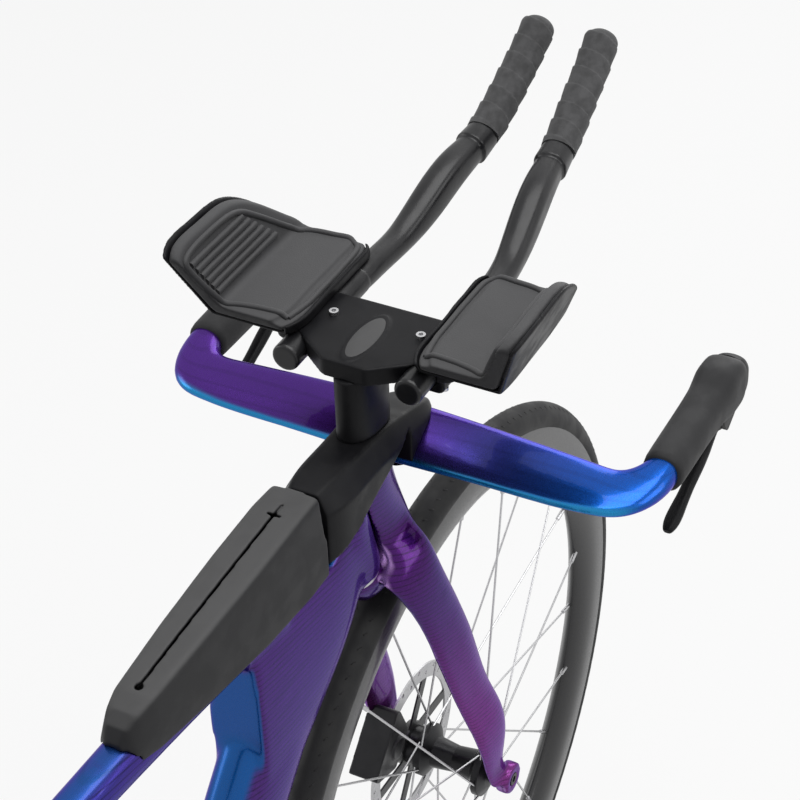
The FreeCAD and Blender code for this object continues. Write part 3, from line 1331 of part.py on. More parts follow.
def link_plate(y_low, thickness):
    """A waisted link plate between two pins, along X."""
    half = CHAIN_PITCH / 2.0
    r = LINK_PLATE_RADIUS
    top = math.radians(60.0)
    left_up = vec(-half + r * math.cos(top), y_low, r * math.sin(top))
    left_down = vec(-half + r * math.cos(top), y_low, -r * math.sin(top))
    right_up = vec(half - r * math.cos(top), y_low, r * math.sin(top))
    right_down = vec(half - r * math.cos(top), y_low, -r * math.sin(top))
    edges = [
        Part.Arc(left_up, vec(-half - r, y_low, 0), left_down).toShape(),
        Part.Arc(left_down, vec(0, y_low, -LINK_WAIST), right_down).toShape(),
        Part.Arc(right_down, vec(half + r, y_low, 0), right_up).toShape(),
        Part.Arc(right_up, vec(0, y_low, LINK_WAIST), left_up).toShape(),
    ]
    return Part.Face(Part.Wire(edges)).extrude(Y_AXIS * thickness)


def make_links():
    """One inner link with its rollers and one outer link with its pins."""
    half = CHAIN_PITCH / 2.0
    inner = link_plate(LINK_INNER_HALF, LINK_PLATE).fuse(link_plate(-LINK_INNER_HALF - LINK_PLATE, LINK_PLATE))
    outer_at = LINK_INNER_HALF + LINK_PLATE + LINK_PLATE_GAP
    outer = link_plate(outer_at, LINK_PLATE).fuse(link_plate(-outer_at - LINK_PLATE, LINK_PLATE))
    reach = outer_at + LINK_PLATE
    for x in (-half, half):
        inner = inner.fuse(cylinder(ROLLER_RADIUS, 2.0 * LINK_INNER_HALF, vec(x, -LINK_INNER_HALF, 0), Y_AXIS))
        outer = outer.fuse(cylinder(LINK_PIN_RADIUS, 2.0 * reach, vec(x, -reach, 0), Y_AXIS))
    for x in (-half, half):
        inner = inner.cut(cylinder(LINK_PIN_RADIUS + RUNNING_FIT, 12.0, vec(x, -6.0, 0), Y_AXIS))
    return inner.removeSplitter(), outer.removeSplitter()


def make_chain(loop, links):
    """All links of the chain, inner and outer in turn."""
    inner, outer = make_links()
    chain = []
    for i in range(links):
        a = loop.at(i)
        b = loop.at(i + 1)
        middle = (a + b) / 2.0
        turn = FreeCAD.Rotation(Y_AXIS, -math.degrees(cmath_phase(b - a)))
        link = (inner if i % 2 else outer).copy()
        link.Placement = FreeCAD.Placement(vec(middle.real, -CHAIN_LINE, middle.imag), turn)
        chain.append(link)
    return chain


def make_crank(side, way):
    """Tapered crank arm on the spindle's end, with its pedal thread."""
    y = side * CRANK_FACE
    thick = Y_AXIS * (-side * CRANK_ARM_THICKNESS)
    hub = vec(BB_X, y, BB_Z)
    eye = hub + X_AXIS * (way * CRANK_LENGTH)
    stations = ((-6.0, 20.0, 13.0), (30.0, 17.0, 12.0), (100.0, 14.0, 10.5), (CRANK_LENGTH - 10.0, 13.0, 10.0),
                (CRANK_LENGTH + 8.0, 12.0, 10.0))
    wires = []
    for reach, deep, broad in stations:
        middle = hub + X_AXIS * (way * reach) + thick * 0.5
        wires.append(oval(middle, Z_AXIS, Y_AXIS, deep, broad * 0.62, 2.8))
    arm = loft(wires)
    arm = arm.fuse(cylinder(22.0, CRANK_ARM_THICKNESS, hub + thick, Y_AXIS * side))
    arm = arm.fuse(cylinder(14.0, CRANK_ARM_THICKNESS, eye + thick, Y_AXIS * side))
    arm = arm.cut(cylinder(PEDAL_HOLE_RADIUS, 60.0, eye - Y_AXIS * 30.0, Y_AXIS))
    return arm


def build_drive():
    """Save cranks, chainring, chain, cassette and rear derailleur."""
    loop, links, cage_angle = fitted_chain()
    bb = vec(BB_X, 0, BB_Z)
    spindle_half = CRANK_FACE - 2.0
    spindle = rod(bb - Y_AXIS * spindle_half, bb + Y_AXIS * spindle_half, SPINDLE_RADIUS)
    right = make_crank(-1.0, 1.0)
    left = make_crank(1.0, -1.0).cut(spindle)
    ring_plane = bb - Y_AXIS * CHAIN_LINE
    spider = []
    spider_y = -CHAIN_LINE - SPROCKET_THICKNESS / 2.0
    for i in range(4):
        turn = math.radians(45.0 + 90.0 * i)
        across = vec(-math.sin(turn), 0, math.cos(turn))
        outward = vec(math.cos(turn), 0, math.sin(turn))
        foot = vec(BB_X, spider_y, BB_Z)
        corners = [foot + outward * 12.0 + across * 13.0, foot + outward * (SPIDER_RADIUS + 8.0) + across * 7.0,
                   foot + outward * (SPIDER_RADIUS + 8.0) - across * 7.0, foot + outward * 12.0 - across * 13.0]
        spider.append(plate(corners, 4.0, Y_AXIS * -5.0))
    hub_length = CRANK_FACE - CRANK_ARM_THICKNESS + spider_y
    spider.append(cylinder(20.0, hub_length, vec(BB_X, spider_y, BB_Z), Y_AXIS * -1.0))
    right = right.multiFuse(spider).cut(spindle)
    ring = sprocket(CHAINRING_TEETH, ring_plane, SPROCKET_THICKNESS, loop.phase(0), SPIDER_RADIUS - 4.0)
    bolts = []
    for i in range(4):
        turn = math.radians(45.0 + 90.0 * i)
        spot = vec(BB_X + SPIDER_RADIUS * math.cos(turn), spider_y, BB_Z + SPIDER_RADIUS * math.sin(turn))
        bolts.append(cylinder(4.5, SPROCKET_THICKNESS + 1.6, spot, Y_AXIS).fuse(cylinder(4.0, 6.5, spot, Y_AXIS * -1.0)))
    for bolt in bolts:
        ring = ring.cut(bolt)
        right = right.cut(bolt)
    save("right_crank", right, spindle)
    save("left_crank", left)
    save("chainring", ring, *bolts)
    save("chain", *make_chain(loop, links))
    cogs = []
    for i, teeth in enumerate(COG_TEETH):
        y = -CHAIN_LINE - (CHAINED_COG - i) * COG_PITCH
        phase = loop.phase(1) if i == CHAINED_COG else 0.1 * i
        cogs.append(sprocket(teeth, vec(REAR_X, y, AXLE_Z), SPROCKET_THICKNESS, phase, FREEHUB_RADIUS))
    return loop, cage_angle, cogs


# Rear derailleur, from the front axle; its links turn about upright pins
HANGER_BOLT = (-1003.0, 303.0)
CAGE_PIVOT = (-994.0, 268.0)
LINK_ARM = (24.0, 14.0)
LINK_PINS = ((-1016.0, -86.0), (-1006.0, -96.0))
LINK_LOW_Z = 269.0
LINK_HIGH_Z = 283.0
LUG_THICKNESS = 4.6
LINK_PIN = 2.5
LINK_HALF = 3.6
CAGE_SHAFT = 4.0
PULLEY_BOLT = 2.5
KNUCKLE_RADIUS = 13.0
REAR_CALIPER_LEAN = math.radians(-62.0)
FRONT_CALIPER_LEAN = math.radians(47.0)


def lug_pair(corners, radius):
    """Two flat lugs above and below the links."""
    low = [front(x, y, LINK_LOW_Z - SEAT_GAP) for x, y in corners]
    high = [front(x, y, LINK_HIGH_Z + SEAT_GAP) for x, y in corners]
    return plate(low, radius, Z_AXIS * -LUG_THICKNESS), plate(high, radius, Z_AXIS * LUG_THICKNESS)


def upright(x, y, half_x, half_y, low, high):
    """A plain upright web between two heights."""
    return Part.makeBox(2 * half_x, 2 * half_y, high - low, front(x - half_x, y - half_y, low))


def link_pins(shift_x, shift_y):
    """Pins of one end of the two links."""
    pins = []
    low = LINK_LOW_Z - SEAT_GAP - LUG_THICKNESS
    high = LINK_HIGH_Z + SEAT_GAP + LUG_THICKNESS
    for x, y in LINK_PINS:
        pins.append(cylinder(LINK_PIN, high - low, front(x + shift_x, y + shift_y, low)))
    return pins


def make_hanger(chain_stay):
    """Replaceable hanger under the right dropout, and the fixed knuckle that carries the links."""
    y = -REAR_HUB_WIDTH / 2.0 - 3.0
    corners = [front(x, y, z) for x, z in ((-1012.0, 330.0), (-978.0, 330.0), (-992.0, 294.0), (-1014.0, 292.0))]
    hanger = plate(corners, 9.0, Y_AXIS * -5.0).cut(chain_stay)
    hanger = largest(hanger)
    hanger = hanger.cut(cylinder(AXLE_RADIUS, 40.0, vec(REAR_X, y + 10.0, AXLE_Z), Y_AXIS * -1.0))
    bolt_at = front(HANGER_BOLT[0], y - 5.0, HANGER_BOLT[1])
    barrel = cylinder(12.0, 20.0, bolt_at, Y_AXIS * -1.0)
    lugs = lug_pair(((-1012.0, -80.0), (-1000.0, -92.0), (-1004.0, -104.0), (-1026.0, -100.0), (-1024.0, -86.0)), 5.0)
    top = LINK_HIGH_Z + SEAT_GAP
    web = upright(-1009.0, -91.0, 8.0, 7.0, top, HANGER_BOLT[1])
    column = upright(-1022.0, -98.0, 3.5, 4.5, LINK_LOW_Z - LUG_THICKNESS, LINK_HIGH_Z + LUG_THICKNESS)
    knuckle = barrel.multiFuse(list(lugs) + [web, column] + link_pins(0.0, 0.0))
    return hanger, knuckle.cut(hanger)


def make_link(index):
    """One flat link with an eye at each end."""
    x, y = LINK_PINS[index]
    start = front(x, y, LINK_LOW_Z)
    end = front(x + LINK_ARM[0], y + LINK_ARM[1], LINK_LOW_Z)
    run = end - start
    run.normalize()
    across = Z_AXIS.cross(run)
    height = LINK_HIGH_Z - LINK_LOW_Z
    corners = [start + across * LINK_HALF, start - across * LINK_HALF, end - across * LINK_HALF, end + across * LINK_HALF]
    bar = Part.Face(Part.makePolygon(corners + corners[:1])).extrude(Z_AXIS * height)
    for spot in (start, end):
        bar = bar.fuse(cylinder(LINK_PIN + 2.2, height, spot))
    for spot in (start, end):
        bar = bar.cut(cylinder(LINK_PIN + RUNNING_FIT, height, spot))
    return bar.removeSplitter()


def make_knuckle():
    """Moving knuckle: lugs for the links and a barrel for the cage's shaft."""
    outer = -CHAIN_LINE - CAGE_HALF - SEAT_GAP
    barrel = cylinder(KNUCKLE_RADIUS, 14.0, front(CAGE_PIVOT[0], outer, CAGE_PIVOT[1]), Y_AXIS * -1.0)
    lugs = lug_pair(((-1000.0, -60.0), (-974.0, -60.0), (-974.0, -84.0), (-984.0, -90.0), (-1000.0, -72.0)), 4.0)
    column = upright(-976.5, -68.0, 2.5, 6.0, LINK_LOW_Z - LUG_THICKNESS, LINK_HIGH_Z + LUG_THICKNESS)
    body = barrel.multiFuse(list(lugs) + [column] + link_pins(*LINK_ARM))
    return body.cut(cylinder(CAGE_SHAFT + RUNNING_FIT, 60.0, front(CAGE_PIVOT[0], outer + 30, CAGE_PIVOT[1]), Y_AXIS * -1.0))


def make_cage(guide, tension):
    """Two cage plates joined by the pulley bolts, with the shaft that turns in the knuckle."""
    pivot = front(CAGE_PIVOT[0], 0, CAGE_PIVOT[1])
    run = tension - guide
    run.normalize()
    across = vec(-run.z, 0, run.x)
    parts = []
    for low, high in ((-CAGE_HALF, -CAGE_HALF + CAGE_PLATE), (CAGE_HALF - CAGE_PLATE, CAGE_HALF)):
        base = Y_AXIS * (-CHAIN_LINE + low)
        corners = [guide - run * 13.0 + across * 12.0, guide - run * 13.0 - across * 12.0,
                   tension + run * 11.0 - across * 10.0, tension + run * 11.0 + across * 10.0]
        strip = plate([c + base for c in corners], 9.0, Y_AXIS * (high - low))
        window = plate([guide + run * 18.0 + across * 5.0 + base, guide + run * 18.0 - across * 5.0 + base,
                        tension - run * 16.0 - across * 4.0 + base, tension - run * 16.0 + across * 4.0 + base],
                       3.0, Y_AXIS * (high - low))
        strip = strip.cut(window)
        if low < 0:
            strip = strip.fuse(cylinder(11.0, high - low, pivot + base, Y_AXIS))
        parts.append(strip)
    start = -CHAIN_LINE - CAGE_HALF
    for spot in (guide, tension):
        parts.append(cylinder(PULLEY_BOLT, 2.0 * CAGE_HALF, spot + Y_AXIS * start, Y_AXIS))
    parts.append(cylinder(CAGE_SHAFT, 14.0 + SEAT_GAP, pivot + Y_AXIS * start, Y_AXIS * -1.0))
    return parts[0].multiFuse(parts[1:])


def make_pulley(spot, phase):
    """Toothed jockey pulley on its bolt."""
    return sprocket(PULLEY_TEETH, spot - Y_AXIS * CHAIN_LINE, SPROCKET_THICKNESS, phase, PULLEY_BOLT + RUNNING_FIT)


os.makedirs("parts", exist_ok=True)

fork = make_fork()
build_cockpit(fork)
body, stay = build_frame()
right_stay = mirrored(stay)
loop, cage_angle, cogs = build_drive()
build_wheel("front", FRONT_X, FRONT_HUB_WIDTH, 25.0, -33.0, FRONT_ROTOR_RADIUS, SEAT_GAP)
build_wheel("rear", REAR_X, REAR_HUB_WIDTH, 25.0, -15.0, REAR_ROTOR_RADIUS, SEAT_GAP)

freehub = tube(FREEHUB_RADIUS, AXLE_RADIUS + RUNNING_FIT, 46.0, vec(REAR_X, -24.2, AXLE_Z), Y_AXIS * -1.0)
lock = tube(FREEHUB_RADIUS + 1.5, FREEHUB_RADIUS, 2.5, vec(REAR_X, -66.0, AXLE_Z), Y_AXIS * -1.0)
save("cassette", freehub, lock, *cogs)

guide = front(GUIDE_PULLEY[0], 0, GUIDE_PULLEY[1])
tension = guide + vec(math.cos(cage_angle), 0, math.sin(cage_angle)) * CAGE_LENGTH
save("derailleur_hanger", *make_hanger(right_stay))
save("derailleur_outer_link", make_link(1))
save("derailleur_inner_link", make_link(0))
save("derailleur_knuckle", make_knuckle())
save("derailleur_cage", make_cage(guide, tension))
save("guide_pulley", make_pulley(guide, loop.phase(2)))
save("tension_pulley", make_pulley(tension, loop.phase(3)))

front_hub = vec(FRONT_X, 0, AXLE_Z)
rear_hub = vec(REAR_X, 0, AXLE_Z)
front_seat = FRONT_HUB_WIDTH / 2.0 - ROTOR_INSET
rear_seat = REAR_HUB_WIDTH / 2.0 - ROTOR_INSET - REAR_ROTOR_SHIFT
front_caliper = make_caliper(front_hub, front_seat, FRONT_ROTOR_RADIUS, FRONT_CALIPER_LEAN).cut(fork)
rear_caliper = make_caliper(rear_hub, rear_seat, REAR_ROTOR_RADIUS, REAR_CALIPER_LEAN)
foot = Part.makeBox(30.0, 20.0, 46.0, front(-934.0, rear_seat + 6.0, 308.0))
rear_caliper = rear_caliper.fuse(foot).cut(stay)
save("front_caliper", largest(front_caliper))
save("rear_caliper", largest(rear_caliper))
for end, hub, seat, radius, lean in (
    ("front", front_hub, front_seat, FRONT_ROTOR_RADIUS, FRONT_CALIPER_LEAN),
    ("rear", rear_hub, rear_seat, REAR_ROTOR_RADIUS, REAR_CALIPER_LEAN),
):
    save(end + "_outer_pad", make_brake_pad(hub, seat, radius, lean, 1.0))
    save(end + "_inner_pad", make_brake_pad(hub, seat, radius, lean, -1.0))
save("front_thru_axle", make_thru_axle(FRONT_X, FRONT_HUB_WIDTH, DROPOUT_THICKNESS))
save("rear_thru_axle", make_thru_axle(REAR_X, REAR_HUB_WIDTH, REAR_DROPOUT))
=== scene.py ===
"""Looks of a time trial bicycle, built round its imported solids."""

import json
import logging
import math
from dataclasses import dataclass, field
from enum import Enum
from typing import Callable

import bmesh
import bpy
from mathutils import Matrix, Vector

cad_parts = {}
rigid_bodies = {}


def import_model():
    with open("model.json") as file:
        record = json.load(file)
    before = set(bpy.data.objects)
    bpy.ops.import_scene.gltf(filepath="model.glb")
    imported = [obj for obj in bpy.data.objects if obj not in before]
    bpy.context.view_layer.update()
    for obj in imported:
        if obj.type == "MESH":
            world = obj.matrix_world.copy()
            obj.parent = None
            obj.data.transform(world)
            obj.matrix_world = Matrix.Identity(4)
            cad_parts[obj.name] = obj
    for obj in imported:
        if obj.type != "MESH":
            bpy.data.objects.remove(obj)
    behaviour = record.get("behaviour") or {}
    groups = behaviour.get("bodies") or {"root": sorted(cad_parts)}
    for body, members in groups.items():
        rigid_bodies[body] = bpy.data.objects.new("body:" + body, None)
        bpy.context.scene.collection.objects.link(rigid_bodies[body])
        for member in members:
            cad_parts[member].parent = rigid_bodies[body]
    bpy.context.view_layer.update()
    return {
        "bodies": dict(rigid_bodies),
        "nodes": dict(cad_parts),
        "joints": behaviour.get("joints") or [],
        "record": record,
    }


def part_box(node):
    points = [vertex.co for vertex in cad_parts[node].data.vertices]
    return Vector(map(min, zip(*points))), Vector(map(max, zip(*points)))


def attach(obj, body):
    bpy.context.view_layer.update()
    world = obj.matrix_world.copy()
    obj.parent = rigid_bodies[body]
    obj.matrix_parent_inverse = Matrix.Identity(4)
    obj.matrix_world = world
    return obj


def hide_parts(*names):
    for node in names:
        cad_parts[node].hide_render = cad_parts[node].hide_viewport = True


LOG = logging.getLogger("bicycle")
FRONT_AXLE_X = 0.4975
AXLE_Z = 0.336
MILLIMETRE = 0.001
UP = (0.0, 0.0, 1.0)
WHITE = (1.0, 1.0, 1.0, 1.0)
Pair = tuple[float, float]
Triple = tuple[float, float, float]
Colour = Triple
Band = tuple[float, float, float, float]
Socket = bpy.types.NodeSocket
Node = bpy.types.Node
Tree = bpy.types.NodeTree
Piece = bpy.types.Object


class Grain(Enum):
    """Kinds of fine surface grain."""

    MOULDED = "moulded"
    FOAM = "foam"
    BRUSHED = "brushed"


def front(x: float, y: float, z: float) -> Vector:
    """Place given in millimetres from the front axle, in metres of the shared frame."""
    return Vector((FRONT_AXLE_X + x * MILLIMETRE, y * MILLIMETRE, z * MILLIMETRE))


def grey(level: float, blue: float) -> Colour:
    """Grey with its own share of blue."""
    return (level, level, blue)


def rgba(colour: Colour) -> tuple[float, float, float, float]:
    """Opaque colour with its alpha."""
    return (*colour, 1.0)


class Sheet:
    """A node tree with short calls to add and join nodes."""

    COLUMN_WIDTH = 180
    COLOUR_A = 6
    COLOUR_B = 7
    COLOUR_OUT = 2

    def __init__(self, tree: Tree) -> None:
        """Hold the tree and its row of nodes."""
        self.tree = tree
        self.column = 0

    def add(self, kind: str, **values: object) -> Node:
        """Add a node.

        Args:
            kind: Blender's node type name.
            values: Node settings by attribute name.

        Returns:
            The new node.
        """
        node = self.tree.nodes.new(kind)
        node.location = (self.column * self.COLUMN_WIDTH, 0)
        self.column += 1
        for name, value in values.items():
            setattr(node, name, value)
        return node

    def feed(self, socket: Socket, value: object) -> None:
        """Join a socket to another, or set its plain value."""
        if isinstance(value, Socket):
            self.tree.links.new(value, socket)
        else:
            socket.default_value = value

    def math(self, operation: str, first: object, second: object = 0.0, clamp: bool = False) -> Socket:
        """Result of one sum on two values."""
        node = self.add("ShaderNodeMath", operation=operation, use_clamp=clamp)
        self.feed(node.inputs[0], first)
        self.feed(node.inputs[1], second)
        return node.outputs[0]

    def span(self, value: object, low: object, high: object, start: float = 0.0, end: float = 1.0) -> Socket:
        """Smooth step of a value between two limits."""
        node = self.add("ShaderNodeMapRange", interpolation_type="SMOOTHSTEP")
        names = ("Value", "From Min", "From Max", "To Min", "To Max")
        for name, item in zip(names, (value, low, high, start, end)):
            self.feed(node.inputs[name], item)
        return node.outputs["Result"]

    def mix(self, share: object, first: object, second: object) -> Socket:
        """Blend of two colours."""
        node = self.add("ShaderNodeMix", data_type="RGBA")
        self.feed(node.inputs["Factor"], share)
        self.feed(node.inputs[self.COLOUR_A], first)
        self.feed(node.inputs[self.COLOUR_B], second)
        return node.outputs[self.COLOUR_OUT]

    def dot(self, first: object, second: object) -> Socket:
        """Dot product of two vectors."""
        node = self.add("ShaderNodeVectorMath", operation="DOT_PRODUCT")
        self.feed(node.inputs[0], first)
        self.feed(node.inputs[1], second)
        return node.outputs["Value"]

    def vector(self, operation: str, first: object, second: object = None, scale: object = None) -> Socket:
        """Result of one sum on vectors."""
        node = self.add("ShaderNodeVectorMath", operation=operation)
        self.feed(node.inputs[0], first)
        if second is not None:
            self.feed(node.inputs[1], second)
        if scale is not None:
            self.feed(node.inputs["Scale"], scale)
        return node.outputs["Vector"]

    def noise(self, place: object, scale: object, detail: float = 2.0) -> Socket:
        """Noise value at a place."""
        node = self.add("ShaderNodeTexNoise")
        self.feed(node.inputs["Vector"], place)
        self.feed(node.inputs["Scale"], scale)
        node.inputs["Detail"].default_value = detail
        return node.outputs["Fac"]

    def stretched(self, scale: Triple) -> Socket:
        """Object coordinates, stretched."""
        node = self.add("ShaderNodeMapping")
        self.feed(node.inputs["Vector"], self.place())
        node.inputs["Scale"].default_value = scale
        return node.outputs["Vector"]

    def place(self) -> Socket:
        """Object coordinates."""
        return self.add("ShaderNodeTexCoord").outputs["Object"]

    def group(self, tree: Tree, **values: object) -> Node:
        """Place a shared group, with values by socket name."""
        node = self.add("ShaderNodeGroup", node_tree=tree)
        for name, value in values.items():
            self.feed(node.inputs[name.replace("_", " ")], value)
        return node


Started = tuple[Sheet, Node, Node]


class Effects:
    """Shader groups that several finishes share."""

    COLOUR = "NodeSocketColor"
    NUMBER = "NodeSocketFloat"
    VECTOR = "NodeSocketVector"
    FIBRE_PITCH = 0.0046
    FIBRE_RISE = (0.16, 0.0, 0.99)
    FIBRE_DEPTH = 0.55
    STREAK_SCALE = (12.0, 950.0, 950.0)
    FLAKE_SCALE = 2600.0
    FLAKE_DEPTH = 0.35
    LACQUER_ROUGHNESS = 0.2
    FLAKE_ROUGHNESS = 0.12
    FIBRE_EDGE = (0.5, 0.97)
    FINE_DETAIL = 3.0
    COARSE_DETAIL = 4.0
    COARSE_EDGE = (0.3, 0.7)
    SPOT_SCALE = 85.0
    SPOT_DETAIL = 6.0
    SPOT_EDGE = (0.52, 0.78)
    UPWARD = (-0.1, 0.9)
    MIDDLE = 0.5

    def __init__(self) -> None:
        """Build every group once."""
        self.shift = self.make_shift()
        self.grain = self.make_grain()
        self.dust = self.make_dust()

    @staticmethod
    def start(name: str, inputs: dict[str, str], outputs: dict[str, str]) -> Started:
        """Start a group.

        Args:
            name: Name of the group.
            inputs: Socket kinds by input name.
            outputs: Socket kinds by output name.

        Returns:
            Its sheet, its input node and its output node.
        """
        tree = bpy.data.node_groups.new(name, "ShaderNodeTree")
        for title, kind in inputs.items():
            tree.interface.new_socket(title, in_out="INPUT", socket_type=kind)
        for title, kind in outputs.items():
            tree.interface.new_socket(title, in_out="OUTPUT", socket_type=kind)
        sheet = Sheet(tree)
        return sheet, sheet.add("NodeGroupInput"), sheet.add("NodeGroupOutput")

    def make_shift(self) -> Tree:
        """Lacquer that runs from one colour to another, with a painted highlight colour on faces turned one
        way, which stands in for the paint's colour flip with angle, and fine fibre lines.
        """
        colour, number, vector = self.COLOUR, self.NUMBER, self.VECTOR
        sheet, given, result = self.start(
            "colour_shift",
            {"Base": colour, "Second": colour, "Edge": colour, "Run": vector, "Low": number, "High": number,
             "Facing": vector, "Edge Low": number, "Edge High": number, "Streaks": number},
            {"Colour": colour, "Roughness": number},
        )
        item = given.outputs
        along = sheet.dot(sheet.place(), item["Run"])
        run = sheet.mix(sheet.span(along, item["Low"], item["High"]), item["Base"], item["Second"])
        normal = sheet.add("ShaderNodeNewGeometry").outputs["Normal"]
        face = sheet.dot(normal, item["Facing"])
        rise = sheet.dot(sheet.place(), self.FIBRE_RISE)
        level = sheet.math("MULTIPLY", rise, math.tau / self.FIBRE_PITCH)
        fibre = sheet.span(sheet.math("SINE", level), *self.FIBRE_EDGE)
        wander = sheet.noise(sheet.stretched(self.STREAK_SCALE), 1.0, 1.0)
        streak = sheet.math("SUBTRACT", wander, sheet.math("MULTIPLY", fibre, self.FIBRE_DEPTH))
        flake = sheet.noise(sheet.place(), self.FLAKE_SCALE, 0.0)
        sparkle = sheet.math("MULTIPLY", sheet.math("SUBTRACT", flake, self.MIDDLE), self.FLAKE_DEPTH)
        light = sheet.math("MULTIPLY", sheet.math("SUBTRACT", streak, self.MIDDLE), item["Streaks"])
        light = sheet.math("ADD", light, sparkle)
        bright = sheet.add("ShaderNodeHueSaturation")
        sheet.feed(bright.inputs["Color"], run)
        sheet.feed(bright.inputs["Value"], sheet.math("ADD", 1.0, light))
        # Painted highlight: faces that turn towards Facing take the highlight colour, standing in for the
        # paint's flip and shine at that angle.
        painted_highlight = sheet.span(face, item["Edge Low"], item["Edge High"])
        sheet.feed(result.inputs["Colour"], sheet.mix(painted_highlight, bright.outputs["Color"], item["Edge"]))
        rough = sheet.math("MULTIPLY", flake, self.FLAKE_ROUGHNESS)
        sheet.feed(result.inputs["Roughness"], sheet.math("ADD", self.LACQUER_ROUGHNESS, rough))
        return sheet.tree

    def make_grain(self) -> Tree:
        """Fine grain: height for a bump and a mask that varies colour and roughness."""
        number = self.NUMBER
        sheet, given, result = self.start("fine_grain", {"Fine": number, "Coarse": number},
                                          {"Height": number, "Mask": number})
        fine = sheet.noise(sheet.place(), given.outputs["Fine"], self.FINE_DETAIL)
        coarse = sheet.noise(sheet.place(), given.outputs["Coarse"], self.COARSE_DETAIL)
        sheet.feed(result.inputs["Height"], fine)
        sheet.feed(result.inputs["Mask"], sheet.span(coarse, *self.COARSE_EDGE))
        return sheet.tree

    def make_dust(self) -> Tree:
        """Pale handling marks that gather on upward faces."""
        number = self.NUMBER
        sheet, given, result = self.start("handling", {"Amount": number}, {"Mask": number})
        up = sheet.dot(sheet.add("ShaderNodeNewGeometry").outputs["Normal"], UP)
        spots = sheet.noise(sheet.place(), self.SPOT_SCALE, self.SPOT_DETAIL)
        spots = sheet.span(spots, *self.SPOT_EDGE)
        mask = sheet.math("MULTIPLY", sheet.span(up, *self.UPWARD), spots)
        sheet.feed(result.inputs["Mask"], sheet.math("MULTIPLY", mask, given.outputs["Amount"]))
        return sheet.tree


